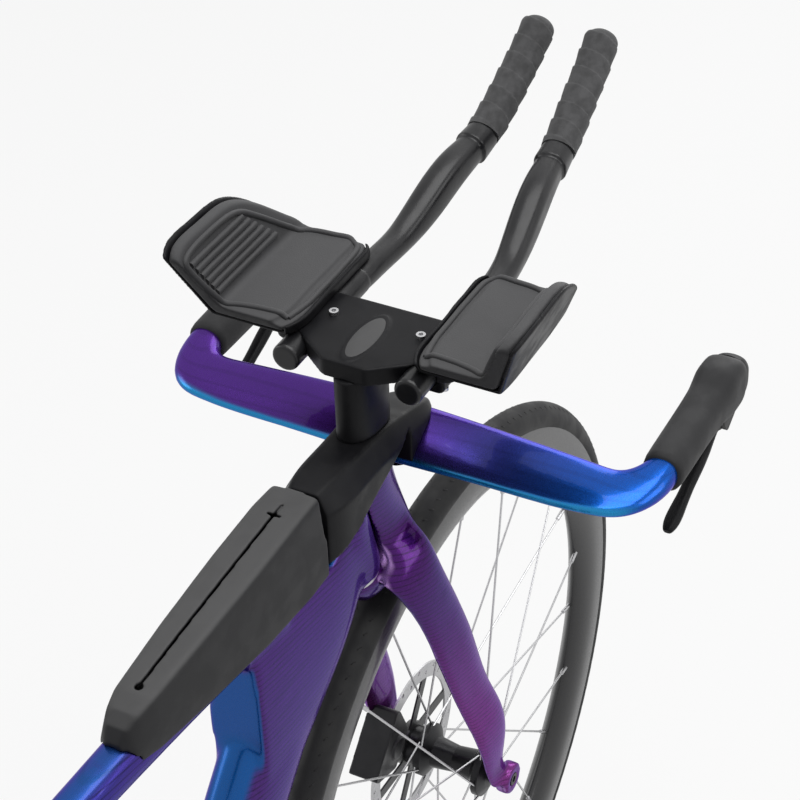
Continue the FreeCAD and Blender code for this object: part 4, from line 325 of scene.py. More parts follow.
class Growth:
    """Geometry node trees that lay wound and repeated detail."""

    NUMBER = "NodeSocketFloat"
    TAPE_STEP = 0.0009
    TAPE_SIDES = 64
    SLACK_SCALE = 95.0
    TIP_CLOSE = 0.985
    RIB_STEP = 0.002
    RIB_SIDES = 10

    def __init__(self) -> None:
        """Build every tree once."""
        self.tape = self.make_tape()
        self.ribs = self.make_ribs()
        self.ring = self.make_ring()

    @staticmethod
    def start(name: str, inputs: dict[str, str]) -> Started:
        """Start a tree that takes a mesh and gives a mesh.

        Args:
            name: Name of the tree.
            inputs: Socket kinds by input name, beside the mesh and its material.

        Returns:
            Its sheet, its input node and its output node.
        """
        tree = bpy.data.node_groups.new(name, "GeometryNodeTree")
        kinds = {"Geometry": "NodeSocketGeometry", **inputs, "Material": "NodeSocketMaterial"}
        for title, kind in kinds.items():
            tree.interface.new_socket(title, in_out="INPUT", socket_type=kind)
        tree.interface.new_socket("Geometry", in_out="OUTPUT", socket_type="NodeSocketGeometry")
        sheet = Sheet(tree)
        return sheet, sheet.add("NodeGroupInput"), sheet.add("NodeGroupOutput")

    @staticmethod
    def close(sheet: Sheet, given: Node, result: Node, geometry: Socket) -> None:
        """End a tree: make its copies real and give them their material."""
        real = sheet.add("GeometryNodeRealizeInstances")
        sheet.feed(real.inputs["Geometry"], geometry)
        coat = sheet.add("GeometryNodeSetMaterial")
        sheet.feed(coat.inputs["Geometry"], real.outputs["Geometry"])
        sheet.feed(coat.inputs["Material"], given.outputs["Material"])
        sheet.feed(result.inputs["Geometry"], coat.outputs["Geometry"])

    @staticmethod
    def keep(sheet: Sheet, geometry: object, name: str, kind: str, value: object) -> Socket:
        """Store a value on each point under a name."""
        node = sheet.add("GeometryNodeStoreNamedAttribute", data_type=kind, domain="POINT")
        sheet.feed(node.inputs["Geometry"], geometry)
        node.inputs["Name"].default_value = name
        sheet.feed(node.inputs["Value"], value)
        return node.outputs["Geometry"]

    @staticmethod
    def kept(sheet: Sheet, name: str, kind: str) -> Socket:
        """A value stored before."""
        node = sheet.add("GeometryNodeInputNamedAttribute", data_type=kind)
        node.inputs["Name"].default_value = name
        return node.outputs["Attribute"]

    @staticmethod
    def drawn(sheet: Sheet, mesh: object, step: float) -> Socket:
        """Edges of a mesh as smooth curves with even points."""
        curve = sheet.add("GeometryNodeMeshToCurve")
        sheet.feed(curve.inputs["Mesh"], mesh)
        smooth = sheet.add("GeometryNodeCurveSplineType", spline_type="CATMULL_ROM")
        sheet.feed(smooth.inputs["Curve"], curve.outputs["Curve"])
        even = sheet.add("GeometryNodeResampleCurve", mode="LENGTH")
        sheet.feed(even.inputs["Curve"], smooth.outputs["Curve"])
        even.inputs["Length"].default_value = step
        return even.outputs["Curve"]

    @staticmethod
    def skinned(sheet: Sheet, curve: object, profile: object) -> Socket:
        """Closed tube of a profile along a curve."""
        node = sheet.add("GeometryNodeCurveToMesh")
        sheet.feed(node.inputs["Curve"], curve)
        sheet.feed(node.inputs["Profile Curve"], profile)
        node.inputs["Fill Caps"].default_value = True
        return node.outputs["Mesh"]

    def make_tape(self) -> Tree:
        """Tape wound in a spiral along a path, each turn over the last, closed by a rounded tip."""
        number = self.NUMBER
        sheet, given, result = self.start("wound_tape", {
            "Radius": number, "Pitch": number, "Lap": number, "Tip": number, "Slack": number})
        item = given.outputs
        spline = sheet.add("GeometryNodeSplineParameter")
        place = sheet.add("GeometryNodeInputPosition").outputs["Position"]
        path = self.drawn(sheet, item["Geometry"], self.TAPE_STEP)
        path = self.keep(sheet, path, "axis", "FLOAT_VECTOR", place)
        path = self.keep(sheet, path, "along", "FLOAT", spline.outputs["Length"])
        path = self.keep(sheet, path, "share", "FLOAT", spline.outputs["Factor"])
        circle = sheet.add("GeometryNodeCurvePrimitiveCircle")
        circle.inputs["Resolution"].default_value = self.TAPE_SIDES
        sheet.feed(circle.inputs["Radius"], item["Radius"])
        hoop = self.keep(sheet, circle.outputs["Curve"], "around", "FLOAT", spline.outputs["Factor"])
        skin = self.skinned(sheet, path, hoop)
        axis = self.kept(sheet, "axis", "FLOAT_VECTOR")
        turns = sheet.math("DIVIDE", self.kept(sheet, "along", "FLOAT"), item["Pitch"])
        rise = sheet.math("FRACT", sheet.math("ADD", turns, self.kept(sheet, "around", "FLOAT")))
        swell = sheet.math("MULTIPLY", rise, sheet.math("DIVIDE", item["Lap"], item["Radius"]))
        loose = sheet.math("SUBTRACT", sheet.noise(place, self.SLACK_SCALE), 0.5)
        fold = sheet.math("MULTIPLY", loose, item["Slack"])
        size = sheet.math("ADD", sheet.math("ADD", 1.0, swell), fold)
        tip_start = sheet.math("SUBTRACT", 1.0, item["Tip"])
        late = sheet.math("SUBTRACT", self.kept(sheet, "share", "FLOAT"), tip_start)
        reach = sheet.math("DIVIDE", late, item["Tip"], clamp=True)
        fall = sheet.math("MULTIPLY", self.TIP_CLOSE, sheet.math("POWER", reach, 2.0))
        dome = sheet.math("SQRT", sheet.math("SUBTRACT", 1.0, fall))
        spoke = sheet.vector("SUBTRACT", place, axis)
        spoke = sheet.vector("SCALE", spoke, scale=sheet.math("MULTIPLY", size, dome))
        move = sheet.add("GeometryNodeSetPosition")
        sheet.feed(move.inputs["Geometry"], skin)
        sheet.feed(move.inputs["Position"], sheet.vector("ADD", axis, spoke))
        self.close(sheet, given, result, move.outputs["Geometry"])
        return sheet.tree

    def make_ribs(self) -> Tree:
        """Half-sunk ribs that follow the surface of another piece."""
        inputs = {"Surface": "NodeSocketObject", "Half Width": self.NUMBER}
        sheet, given, result = self.start("surface_ribs", inputs)
        item = given.outputs
        info = sheet.add("GeometryNodeObjectInfo", transform_space="RELATIVE")
        sheet.feed(info.inputs["Object"], item["Surface"])
        near = sheet.add("GeometryNodeProximity", target_element="FACES")
        sheet.feed(near.inputs[0], info.outputs["Geometry"])
        move = sheet.add("GeometryNodeSetPosition")
        sheet.feed(move.inputs["Geometry"], self.drawn(sheet, item["Geometry"], self.RIB_STEP))
        sheet.feed(move.inputs["Position"], near.outputs["Position"])
        circle = sheet.add("GeometryNodeCurvePrimitiveCircle")
        circle.inputs["Resolution"].default_value = self.RIB_SIDES
        sheet.feed(circle.inputs["Radius"], item["Half Width"])
        skin = self.skinned(sheet, move.outputs["Geometry"], circle.outputs["Curve"])
        self.close(sheet, given, result, skin)
        return sheet.tree

    def make_ring(self) -> Tree:
        """Copies of one mark in a ring round a wheel's axle."""
        inputs = {"Count": "NodeSocketInt", "Hub": "NodeSocketVector"}
        sheet, given, result = self.start("ring_of_marks", inputs)
        item = given.outputs
        points = sheet.add("GeometryNodeMeshLine")
        sheet.feed(points.inputs["Count"], item["Count"])
        points.inputs["Offset"].default_value = (0.0, 0.0, 0.0)
        step = sheet.math("DIVIDE", math.tau, item["Count"])
        turn = sheet.add("ShaderNodeCombineXYZ")
        index = sheet.add("GeometryNodeInputIndex").outputs[0]
        sheet.feed(turn.inputs["Y"], sheet.math("MULTIPLY", index, step))
        copies = sheet.add("GeometryNodeInstanceOnPoints")
        sheet.feed(copies.inputs["Points"], points.outputs["Mesh"])
        sheet.feed(copies.inputs["Instance"], item["Geometry"])
        sheet.feed(copies.inputs["Rotation"], turn.outputs["Vector"])
        place = sheet.add("GeometryNodeTransform")
        sheet.feed(place.inputs["Geometry"], copies.outputs["Instances"])
        sheet.feed(place.inputs["Translation"], item["Hub"])
        self.close(sheet, given, result, place.outputs["Geometry"])
        return sheet.tree


def new_material(name: str) -> tuple[bpy.types.Material, Sheet, Node]:
    """Empty material.

    Args:
        name: Name of the finish.

    Returns:
        The material, its sheet and its main shader.
    """
    material = bpy.data.materials.new(name)
    material.use_nodes = True
    sheet = Sheet(material.node_tree)
    return material, sheet, material.node_tree.nodes["Principled BSDF"]


def bump(sheet: Sheet, shader: Node, height: object, strength: float, depth: float) -> None:
    """Bump a shader's surface by a height, in metres."""
    node = sheet.add("ShaderNodeBump")
    node.inputs["Strength"].default_value = strength
    node.inputs["Distance"].default_value = depth
    sheet.feed(node.inputs["Height"], height)
    sheet.feed(shader.inputs["Normal"], node.outputs["Normal"])


@dataclass(frozen=True)
class LacquerFinish:
    """Colour-shift metallic lacquer under a clear coat, with a painted highlight colour on faces turned one
    way.
    """

    name: str
    base: Colour
    second: Colour
    # Painted highlight colour, laid on faces turned towards facing.
    painted_highlight: Colour
    run: Triple
    limits: Pair
    facing: Triple
    painted_highlight_limits: Pair
    streaks: float = 0.5
    metallic: float = 0.75
    glint: Colour = (0.42, 0.24, 0.85)
    coat: float = 0.22
    coat_roughness: float = 0.04
    specular: float = 0.25

    def make(self, effects: Effects) -> bpy.types.Material:
        """Material of this lacquer."""
        material, sheet, shader = new_material(self.name)
        low, high = self.limits
        painted_highlight_low, painted_highlight_high = self.painted_highlight_limits
        node = sheet.group(
            effects.shift, Base=rgba(self.base), Second=rgba(self.second), Edge=rgba(self.painted_highlight),
            Run=self.run, Low=low, High=high, Facing=self.facing,
            Edge_Low=painted_highlight_low, Edge_High=painted_highlight_high, Streaks=self.streaks)
        sheet.feed(shader.inputs["Base Color"], node.outputs["Colour"])
        sheet.feed(shader.inputs["Roughness"], node.outputs["Roughness"])
        shader.inputs["Metallic"].default_value = self.metallic
        shader.inputs["Coat Weight"].default_value = self.coat
        shader.inputs["Coat Roughness"].default_value = self.coat_roughness
        shader.inputs["Specular IOR Level"].default_value = self.specular
        shader.inputs["Specular Tint"].default_value = rgba(self.glint)
        return material


@dataclass(frozen=True)
class SurfaceFinish:
    """Plain coloured finish with grain, spots and handling marks, and, where crown is given, a painted top
    light on upward faces.
    """

    name: str
    colour: Colour
    lighter: Colour
    roughness: Pair
    grain: Grain = Grain.MOULDED
    fine: float = 1500.0
    coarse: float = 40.0
    depth: float = 0.00012
    strength: float = 0.25
    metallic: float = 0.0
    coat: float = 0.0
    sheen: float = 0.0
    marks: float = 0.0
    specular: float = 0.5
    # Painted top light: crown is a paler colour laid on upward faces, in patches.
    crown: Colour | None = None
    painted_top_light_edge: Pair = (0.45, 0.95)
    painted_top_light_patches: Pair = (0.8, 1.0)
    mark_colour: Colour = (0.22, 0.22, 0.23)
    coat_roughness: float = 0.12
    sheen_roughness: float = 0.5
    brush_stretch: float = 0.04

    def make(self, effects: Effects) -> bpy.types.Material:
        """Material of this finish."""
        material, sheet, shader = new_material(self.name)
        node = sheet.group(effects.grain, Fine=self.fine, Coarse=self.coarse)
        height, mask = node.outputs["Height"], node.outputs["Mask"]
        if self.grain is Grain.BRUSHED:
            height = sheet.noise(sheet.stretched((self.fine, self.fine * self.brush_stretch, self.fine)), 1.0)
            mask = height
        if self.grain is Grain.FOAM:
            cells = sheet.add("ShaderNodeTexVoronoi")
            sheet.feed(cells.inputs["Vector"], sheet.place())
            cells.inputs["Scale"].default_value = self.fine
            height = cells.outputs["Distance"]
        colour = sheet.mix(mask, rgba(self.colour), rgba(self.lighter))
        # Painted top light: upward faces turn paler, in patches of the grain mask.
        if self.crown is not None:
            up = sheet.dot(sheet.add("ShaderNodeNewGeometry").outputs["Normal"], UP)
            patchy = sheet.span(mask, 0.0, 1.0, *self.painted_top_light_patches)
            pale = sheet.math("MULTIPLY", sheet.span(up, *self.painted_top_light_edge), patchy)
            colour = sheet.mix(pale, colour, rgba(self.crown))
        if self.marks > 0.0:
            dust = sheet.group(effects.dust, Amount=self.marks)
            colour = sheet.mix(dust.outputs["Mask"], colour, rgba(self.mark_colour))
        sheet.feed(shader.inputs["Base Color"], colour)
        sheet.feed(shader.inputs["Roughness"], sheet.span(mask, 0.0, 1.0, *self.roughness))
        shader.inputs["Metallic"].default_value = self.metallic
        shader.inputs["Coat Weight"].default_value = self.coat
        shader.inputs["Coat Roughness"].default_value = self.coat_roughness
        shader.inputs["Specular IOR Level"].default_value = self.specular
        if self.sheen > 0.0:
            shader.inputs["Sheen Weight"].default_value = self.sheen
            shader.inputs["Sheen Roughness"].default_value = self.sheen_roughness
        bump(sheet, shader, height, self.strength, self.depth)
        return material


@dataclass(frozen=True)
class RotorFinish:
    """Steel braking ring round a black carrier, told apart by their distance from the axle."""

    name: str
    axle_x: float
    ring: float
    seam: float = 0.0004
    carrier: Colour = (0.02, 0.02, 0.022)
    dark_steel: Colour = (0.34, 0.34, 0.35)
    light_steel: Colour = (0.62, 0.62, 0.63)
    brush_scale: float = 2600.0
    brush_detail: float = 3.0
    fine: float = 1800.0
    coarse: float = 60.0
    metallic: Pair = (0.2, 1.0)
    roughness: float = 0.26
    brush_roughness: float = 0.18
    strength: float = 0.2
    depth: float = 0.00005

    def make(self, effects: Effects) -> bpy.types.Material:
        """Material of one rotor."""
        material, sheet, shader = new_material(self.name)
        move = sheet.add("ShaderNodeMapping")
        sheet.feed(move.inputs["Vector"], sheet.place())
        move.inputs["Location"].default_value = (-self.axle_x, 0.0, -AXLE_Z)
        size = sheet.add("ShaderNodeVectorMath", operation="LENGTH")
        sheet.feed(size.inputs[0], sheet.vector("MULTIPLY", move.outputs["Vector"], (1.0, 0.0, 1.0)))
        radius = size.outputs["Value"]
        ring = sheet.span(radius, self.ring - self.seam, self.ring + self.seam)
        combine = sheet.add("ShaderNodeCombineXYZ")
        sheet.feed(combine.inputs["X"], sheet.math("MULTIPLY", radius, self.brush_scale))
        brushed = sheet.noise(combine.outputs["Vector"], 1.0, self.brush_detail)
        steel = sheet.mix(brushed, rgba(self.dark_steel), rgba(self.light_steel))
        sheet.feed(shader.inputs["Base Color"], sheet.mix(ring, rgba(self.carrier), steel))
        sheet.feed(shader.inputs["Metallic"], sheet.span(ring, 0.0, 1.0, *self.metallic))
        grain = sheet.group(effects.grain, Fine=self.fine, Coarse=self.coarse)
        rough = sheet.math("MULTIPLY", brushed, self.brush_roughness)
        rough = sheet.math("ADD", self.roughness, rough)
        sheet.feed(shader.inputs["Roughness"], rough)
        height = sheet.mix(ring, grain.outputs["Height"], brushed)
        bump(sheet, shader, height, self.strength, self.depth)
        return material


VIOLET = (0.052, 0.015, 0.135)
# Painted highlight colour: laid on the frame's faces that turn up and back.
BLUE = (0.005, 0.075, 0.27)
# Painted highlight colour: laid on the bar's rear-facing faces.
TEAL = (0.012, 0.22, 0.48)
FRAME_BLUE = (0.018, 0.026, 0.22)
FORK_PLUM = (0.15, 0.026, 0.165)
FORK_DARK = (0.050, 0.006, 0.105)
# Painted highlight: light lilac laid on the fork's rear-facing faces.
FORK_PAINTED_HIGHLIGHT = (0.36, 0.20, 0.48)
BAR_VIOLET = (0.062, 0.016, 0.19)
BAR_BLUE = (0.003, 0.072, 0.36)
FINISHES = {
    "frame": LacquerFinish(
        "frame_lacquer", VIOLET, FRAME_BLUE, BLUE, run=(-1.0, 0.0, 0.0), limits=(-0.16, 0.10),
        facing=(-0.75, 0.0, 0.66), painted_highlight_limits=(0.4, 0.75), streaks=0.9),
    "fork": LacquerFinish(
        "fork_lacquer", FORK_PLUM, FORK_DARK, FORK_PAINTED_HIGHLIGHT, run=UP, limits=(0.46, 0.66),
        facing=(-1.0, 0.0, 0.25), painted_highlight_limits=(0.8, 1.0), streaks=0.8),
    "bar": LacquerFinish(
        "bar_lacquer", BAR_VIOLET, BAR_BLUE, TEAL, run=(0.0, -1.0, 0.0), limits=(-0.02, 0.19),
        facing=(-1.0, 0.0, 0.1), painted_highlight_limits=(0.5, 0.9), streaks=0.25),
    "black": SurfaceFinish(
        "satin_black", grey(0.005, 0.006), grey(0.009, 0.010), (0.38, 0.52), marks=0.01, specular=0.1),
    "gloss": SurfaceFinish(
        "semi_gloss_black", grey(0.006, 0.007), grey(0.010, 0.011), (0.30, 0.42),
        coat=0.08, strength=0.1, specular=0.28),
    "rubber": SurfaceFinish(
        "soft_rubber", grey(0.009, 0.010), grey(0.015, 0.016), (0.6, 0.78),
        fine=2200.0, strength=0.4, sheen=0.03, marks=0.02, specular=0.28),
    # Painted top light: the crown grey makes the pads' upward faces paler in patches.
    "foam": SurfaceFinish(
        "charcoal_foam", grey(0.022, 0.023), grey(0.034, 0.036), (0.7, 0.86), Grain.FOAM, fine=900.0,
        depth=0.0002, strength=0.5, sheen=0.05, marks=0.015, specular=0.24, crown=grey(0.060, 0.062)),
    "tape": SurfaceFinish(
        "suede_tape", grey(0.040, 0.041), grey(0.072, 0.074), (0.78, 0.95), fine=1300.0, coarse=120.0,
        depth=0.0003, strength=0.6, sheen=0.12, specular=0.2),
    "tyre": SurfaceFinish(
        "tyre_rubber", grey(0.008, 0.008), grey(0.014, 0.015), (0.6, 0.8),
        fine=1900.0, strength=0.35, sheen=0.03, specular=0.25),
    "carbon": SurfaceFinish(
        "carbon_rim", grey(0.006, 0.007), grey(0.012, 0.013), (0.24, 0.42), Grain.BRUSHED, fine=900.0,
        coat=0.3, strength=0.08, specular=0.35),
    "steel": SurfaceFinish(
        "drawn_steel", grey(0.38, 0.39), grey(0.6, 0.61), (0.22, 0.42), Grain.BRUSHED, fine=1600.0,
        strength=0.15, metallic=1.0),
    "alloy": SurfaceFinish(
        "satin_alloy", grey(0.42, 0.43), grey(0.58, 0.59), (0.28, 0.42),
        metallic=1.0, fine=2400.0, strength=0.15),
    "anodised": SurfaceFinish(
        "black_anodised", grey(0.010, 0.012), grey(0.020, 0.022), (0.3, 0.46),
        metallic=0.4, fine=2600.0, strength=0.15, specular=0.35),
    # Painted top light: the crown grey makes the storage box's upward faces paler in patches.
    "lid": SurfaceFinish(
        "soft_lid", grey(0.010, 0.011), grey(0.016, 0.017), (0.55, 0.7),
        fine=2200.0, strength=0.4, marks=0.02, specular=0.24, crown=grey(0.058, 0.059)),
    "cover": SurfaceFinish(
        "saddle_cover", grey(0.009, 0.010), grey(0.016, 0.017), (0.55, 0.75),
        fine=1100.0, strength=0.4, sheen=0.03, specular=0.28),
    "front_rotor": RotorFinish("front_rotor_steel", FRONT_AXLE_X, 0.065),
    "rear_rotor": RotorFinish("rear_rotor_steel", -FRONT_AXLE_X, 0.055),
}
SLOT_FINISH = {
    "frame_paint": "frame", "fork_paint": "fork", "bar_paint": "bar", "black_satin": "black",
    "extension_black": "gloss", "soft_black": "rubber", "foam": "foam", "tape": "tape", "tyre": "tyre",
    "carbon": "carbon", "steel": "steel", "alloy": "alloy", "black_alloy": "anodised",
    "saddle_cover": "cover",
}


@dataclass(frozen=True)
class Mould:
    """How finely a piece is copied, in metres, and how many passes smooth its edges."""

    grid: float
    passes: int


MOULDS = {
    "main_frame": Mould(0.0026, 12), "fork": Mould(0.002, 10), "chainstay": Mould(0.002, 6),
    "seatstay": Mould(0.002, 6), "storage_box": Mould(0.0011, 2), "caliper": Mould(0.0009, 3),
    "base_bar": Mould(0.0015, 6), "stem": Mould(0.0013, 4), "riser": Mould(0.0011, 4),
    "bridge": Mould(0.0011, 4), "armrest_cup": Mould(0.0013, 3), "extension": Mould(0.0010, 3),
    "brake_lever": Mould(0.0009, 5), "arm_pad": Mould(0.0013, 10), "saddle_pad": Mould(0.0018, 8),
    "saddle_shell": Mould(0.0018, 4),
}
SIDES = (("left", 1.0), ("right", -1.0))
ENDS = (("front", 1.0), ("rear", -1.0))


@dataclass
class Workshop:
    """The loaded frame, its finishes and the calls that make pieces of it."""

    frame: dict
    effects: Effects = field(default_factory=Effects)
    growth: Growth = field(default_factory=Growth)
    finishes: dict[str, bpy.types.Material] = field(default_factory=dict)
    weld: float = 1e-6
    ease: float = 0.5

    def __post_init__(self) -> None:
        """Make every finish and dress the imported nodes."""
        for key, finish in FINISHES.items():
            self.finishes[key] = finish.make(self.effects)
        self.node_slot = {row["node"]: row["material_slot"] for row in self.frame["record"]["subparts"]}
        self.node_body = {}
        for body, nodes in self.frame["record"]["behaviour"]["bodies"].items():
            for node in nodes:
                self.node_body[node] = body
        for node, item in self.frame["nodes"].items():
            key = node if node in FINISHES else SLOT_FINISH[self.node_slot[node]]
            self.dress(item, key)

    def dress(self, item: Piece, key: str) -> None:
        """Give a piece one finish."""
        item.data.materials.clear()
        item.data.materials.append(self.finishes[key])

    def link(self, name: str, mesh: bpy.types.Mesh) -> Piece:
        """New object of a mesh, shaded smooth."""
        item = bpy.data.objects.new(name, mesh)
        bpy.context.scene.collection.objects.link(item)
        mesh.shade_smooth()
        return item

    def bake(self, item: Piece) -> None:
        """Apply an object's modifiers to its mesh."""
        bpy.context.view_layer.update()
        graph = bpy.context.evaluated_depsgraph_get()
        mesh = bpy.data.meshes.new_from_object(item.evaluated_get(graph))
        item.modifiers.clear()
        old = item.data
        item.data = mesh
        bpy.data.meshes.remove(old)
        mesh.shade_smooth()

    def moulded(self, kind: str, side: str = "", key: str | None = None, also: tuple[str, ...] = ()) -> Piece:
        """Soft-edged copy of a node, as a mould gives it.

        Args:
            kind: Mould of the piece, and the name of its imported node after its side.
            side: First word of the node's name, where it has a twin.
            key: Finish, where it isn't the node's own.
            also: Other nodes of the same body that are moulded in with it.

        Returns:
            The new piece, which replaces the nodes.
        """
        mould = MOULDS[kind]
        node = f"{side}_{kind}" if side else kind
        mesh = bpy.data.meshes.new(node)
        build = bmesh.new()
        for name in (node, *also):
            build.from_mesh(self.frame["nodes"][name].data)
        bmesh.ops.remove_doubles(build, verts=build.verts, dist=self.weld)
        build.to_mesh(mesh)
        build.free()
        item = self.link(node + "_moulded", mesh)
        grid = item.modifiers.new("grid", "REMESH")
        grid.mode = "VOXEL"
        grid.voxel_size = mould.grid
        self.bake(item)
        self.relax(item, mould.passes)
        self.dress(item, key or SLOT_FINISH[self.node_slot[node]])
        self.seat(item, node, *also)
        return item

    def relax(self, item: Piece, passes: int, share: Callable[[Vector], float] | None = None) -> None:
        """Smooth a piece, everywhere or by a share that depends on the place.

        Args:
            item: Piece to smooth.
            passes: How often it is smoothed.
            share: Weight from 0 to 1 at a place.
        """
        ease = item.modifiers.new("ease", "SMOOTH")
        ease.factor = self.ease
        ease.iterations = passes
        if share is not None:
            group = item.vertex_groups.new(name="ease")
            for vertex in item.data.vertices:
                weight = share(vertex.co)
                if weight > 0.0:
                    group.add((vertex.index,), weight, "REPLACE")
            ease.vertex_group = group.name
        materials = list(item.data.materials)
        self.bake(item)
        item.vertex_groups.clear()
        item.data.materials.clear()
        for material in materials:
            item.data.materials.append(material)

    def grow(self, name: str, mesh: bpy.types.Mesh, tree: Tree, key: str, **values: object) -> Piece:
        """Piece that a geometry tree makes from a seed mesh.

        Args:
            name: Name of the piece.
            mesh: Seed of the tree.
            tree: Geometry node tree.
            key: Finish.
            values: Inputs by socket name.

        Returns:
            The new piece with its mesh made real.
        """
        item = self.link(name, mesh)
        step = item.modifiers.new("grow", "NODES")
        step.node_group = tree
        values["Material"] = self.finishes[key]
        for socket in tree.interface.items_tree:
            title = socket.name.replace(" ", "_")
            if socket.in_out == "INPUT" and title in values:
                step[socket.identifier] = values[title]
        self.bake(item)
        return item

    def seat(self, item: Piece, *nodes: str) -> None:
        """Let a piece stand for its nodes and ride on their body."""
        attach(item, self.node_body[nodes[0]])
        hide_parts(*nodes)
        LOG.info("%s stands for %s", item.name, ", ".join(nodes))

    def shift(self, item: Piece, move: Callable[[Vector, Vector], Vector]) -> None:
        """Move each vertex by a rule of its place and normal."""
        normals = [v.normal.copy() for v in item.data.vertices]
        for vertex, normal in zip(item.data.vertices, normals):
            vertex.co = vertex.co + move(vertex.co.copy(), normal)
        item.data.update()


@dataclass(frozen=True)
class SoftBox:
    """A square lamp: its place, what it points at, its side in metres and its power in watts."""

    name: str
    place: Triple
    aim: Triple
    size: float
    power: float


@dataclass
class Studio:
    """Floor, light, world and camera."""

    camera_place: Triple = (-0.7924, -0.6587, 1.8380)
    right: Triple = (0.458, -0.8885, -0.0281)
    up: Triple = (0.5457, 0.2561, 0.7979)
    lens: float = 101.65
    sensor: float = 36.0
    far: float = 60.0
    floor_half: float = 14.0
    floor_colour: Colour = (0.6, 0.6, 0.6)
    floor_roughness: float = 0.9
    floor_white: float = 0.86
    world_strength: float = 0.24
    lamps: tuple[SoftBox, ...] = (
        SoftBox("top_box", (0.5, -0.5, 3.0), (0.3, 0.0, 0.8), 2.2, 64.0),
        SoftBox("right_box", (0.9, -2.6, 1.5), (0.3, 0.0, 0.7), 1.6, 22.0),
        SoftBox("left_box", (-0.4, 2.6, 1.6), (0.3, 0.0, 0.7), 1.6, 17.0),
        SoftBox("front_box", (3.0, 0.2, 1.6), (0.5, 0.0, 0.8), 1.5, 20.0),
    )

    def build(self) -> None:
        """Set the whole studio."""
        self.set_camera()
        self.set_floor()
        self.set_light()
        bpy.context.scene.view_settings.view_transform = "Standard"

    def set_camera(self) -> None:
        """Camera at the photograph's place and angle."""
        data = bpy.data.cameras.new("camera")
        data.lens = self.lens
        data.sensor_width = self.sensor
        data.sensor_fit = "HORIZONTAL"
        data.clip_end = self.far
        item = bpy.data.objects.new("camera", data)
        bpy.context.scene.collection.objects.link(item)
        right = Vector(self.right).normalized()
        up = Vector(self.up)
        up = (up - right * up.dot(right)).normalized()
        back = right.cross(up)
        turn = Matrix((right, up, back)).transposed()
        item.matrix_world = Matrix.Translation(self.camera_place) @ turn.to_4x4()
        bpy.context.scene.camera = item

    @staticmethod
    def shown(sheet: Sheet) -> Socket:
        """One for the rays that show the background: seen, mirrored or passed through."""
        rays = sheet.add("ShaderNodeLightPath").outputs
        mirrored = sheet.math("ADD", rays["Is Glossy Ray"], rays["Is Transmission Ray"])
        return sheet.math("ADD", rays["Is Camera Ray"], mirrored, clamp=True)

    def set_floor(self) -> None:
        """Pale floor that shows white to the camera and keeps a light shadow."""
        mesh = bpy.data.meshes.new("floor")
        half = self.floor_half
        corners = [(-half, -half, 0), (half, -half, 0), (half, half, 0), (-half, half, 0)]
        mesh.from_pydata(corners, [], [(0, 1, 2, 3)])
        item = bpy.data.objects.new("floor", mesh)
        bpy.context.scene.collection.objects.link(item)
        material, sheet, shader = new_material("pale_floor")
        shader.inputs["Base Color"].default_value = rgba(self.floor_colour)
        shader.inputs["Roughness"].default_value = self.floor_roughness
        glow = sheet.add("ShaderNodeEmission")
        glow.inputs["Color"].default_value = WHITE
        seen = self.shown(sheet)
        blend = sheet.add("ShaderNodeMixShader")
        sheet.feed(blend.inputs[0], sheet.math("MULTIPLY", seen, self.floor_white))
        sheet.feed(blend.inputs[1], shader.outputs[0])
        sheet.feed(blend.inputs[2], glow.outputs[0])
        output = material.node_tree.nodes["Material Output"]
        sheet.feed(output.inputs["Surface"], blend.outputs[0])
        mesh.materials.append(material)

    def set_light(self) -> None:
        """Soft boxes above and beside the bicycle, in a pale world."""
        for lamp in self.lamps:
            data = bpy.data.lights.new(lamp.name, "AREA")
            data.size = lamp.size
            data.energy = lamp.power
            item = bpy.data.objects.new(lamp.name, data)
            bpy.context.scene.collection.objects.link(item)
            item.location = lamp.place
            aim = Vector(lamp.aim) - Vector(lamp.place)
            item.rotation_euler = aim.to_track_quat("-Z", "Y").to_euler()
        world = bpy.data.worlds.new("world")
        bpy.context.scene.world = world
        world.use_nodes = True
        sheet = Sheet(world.node_tree)
        dim = world.node_tree.nodes["Background"]
        dim.inputs["Color"].default_value = WHITE
        dim.inputs["Strength"].default_value = self.world_strength
        white = sheet.add("ShaderNodeBackground")
        white.inputs["Color"].default_value = WHITE
        blend = sheet.add("ShaderNodeMixShader")
        sheet.feed(blend.inputs[0], self.shown(sheet))
        sheet.feed(blend.inputs[1], dim.outputs[0])
        sheet.feed(blend.inputs[2], white.outputs[0])
        sheet.feed(world.node_tree.nodes["World Output"].inputs["Surface"], blend.outputs[0])


def lines(name: str, rows: list[list[Vector]]) -> bpy.types.Mesh:
    """Mesh of open lines, one for each row of places."""
    mesh = bpy.data.meshes.new(name)
    points = []
    edges = []
    for row in rows:
        first = len(points)
        points.extend(row)
        edges.extend((first + i, first + i + 1) for i in range(len(row) - 1))
    mesh.from_pydata(points, edges, [])
    return mesh


def ramp(value: float, low: float, high: float) -> float:
    """Straight step from 0 at one limit to 1 at the other."""
    return min(max((value - low) / (high - low), 0.0), 1.0)


def band(value: float, limits: Band) -> float:
    """Rise from 0 to 1 over the first two limits, and fall back over the last two."""
    return ramp(value, limits[0], limits[1]) * ramp(value, limits[3], limits[2])


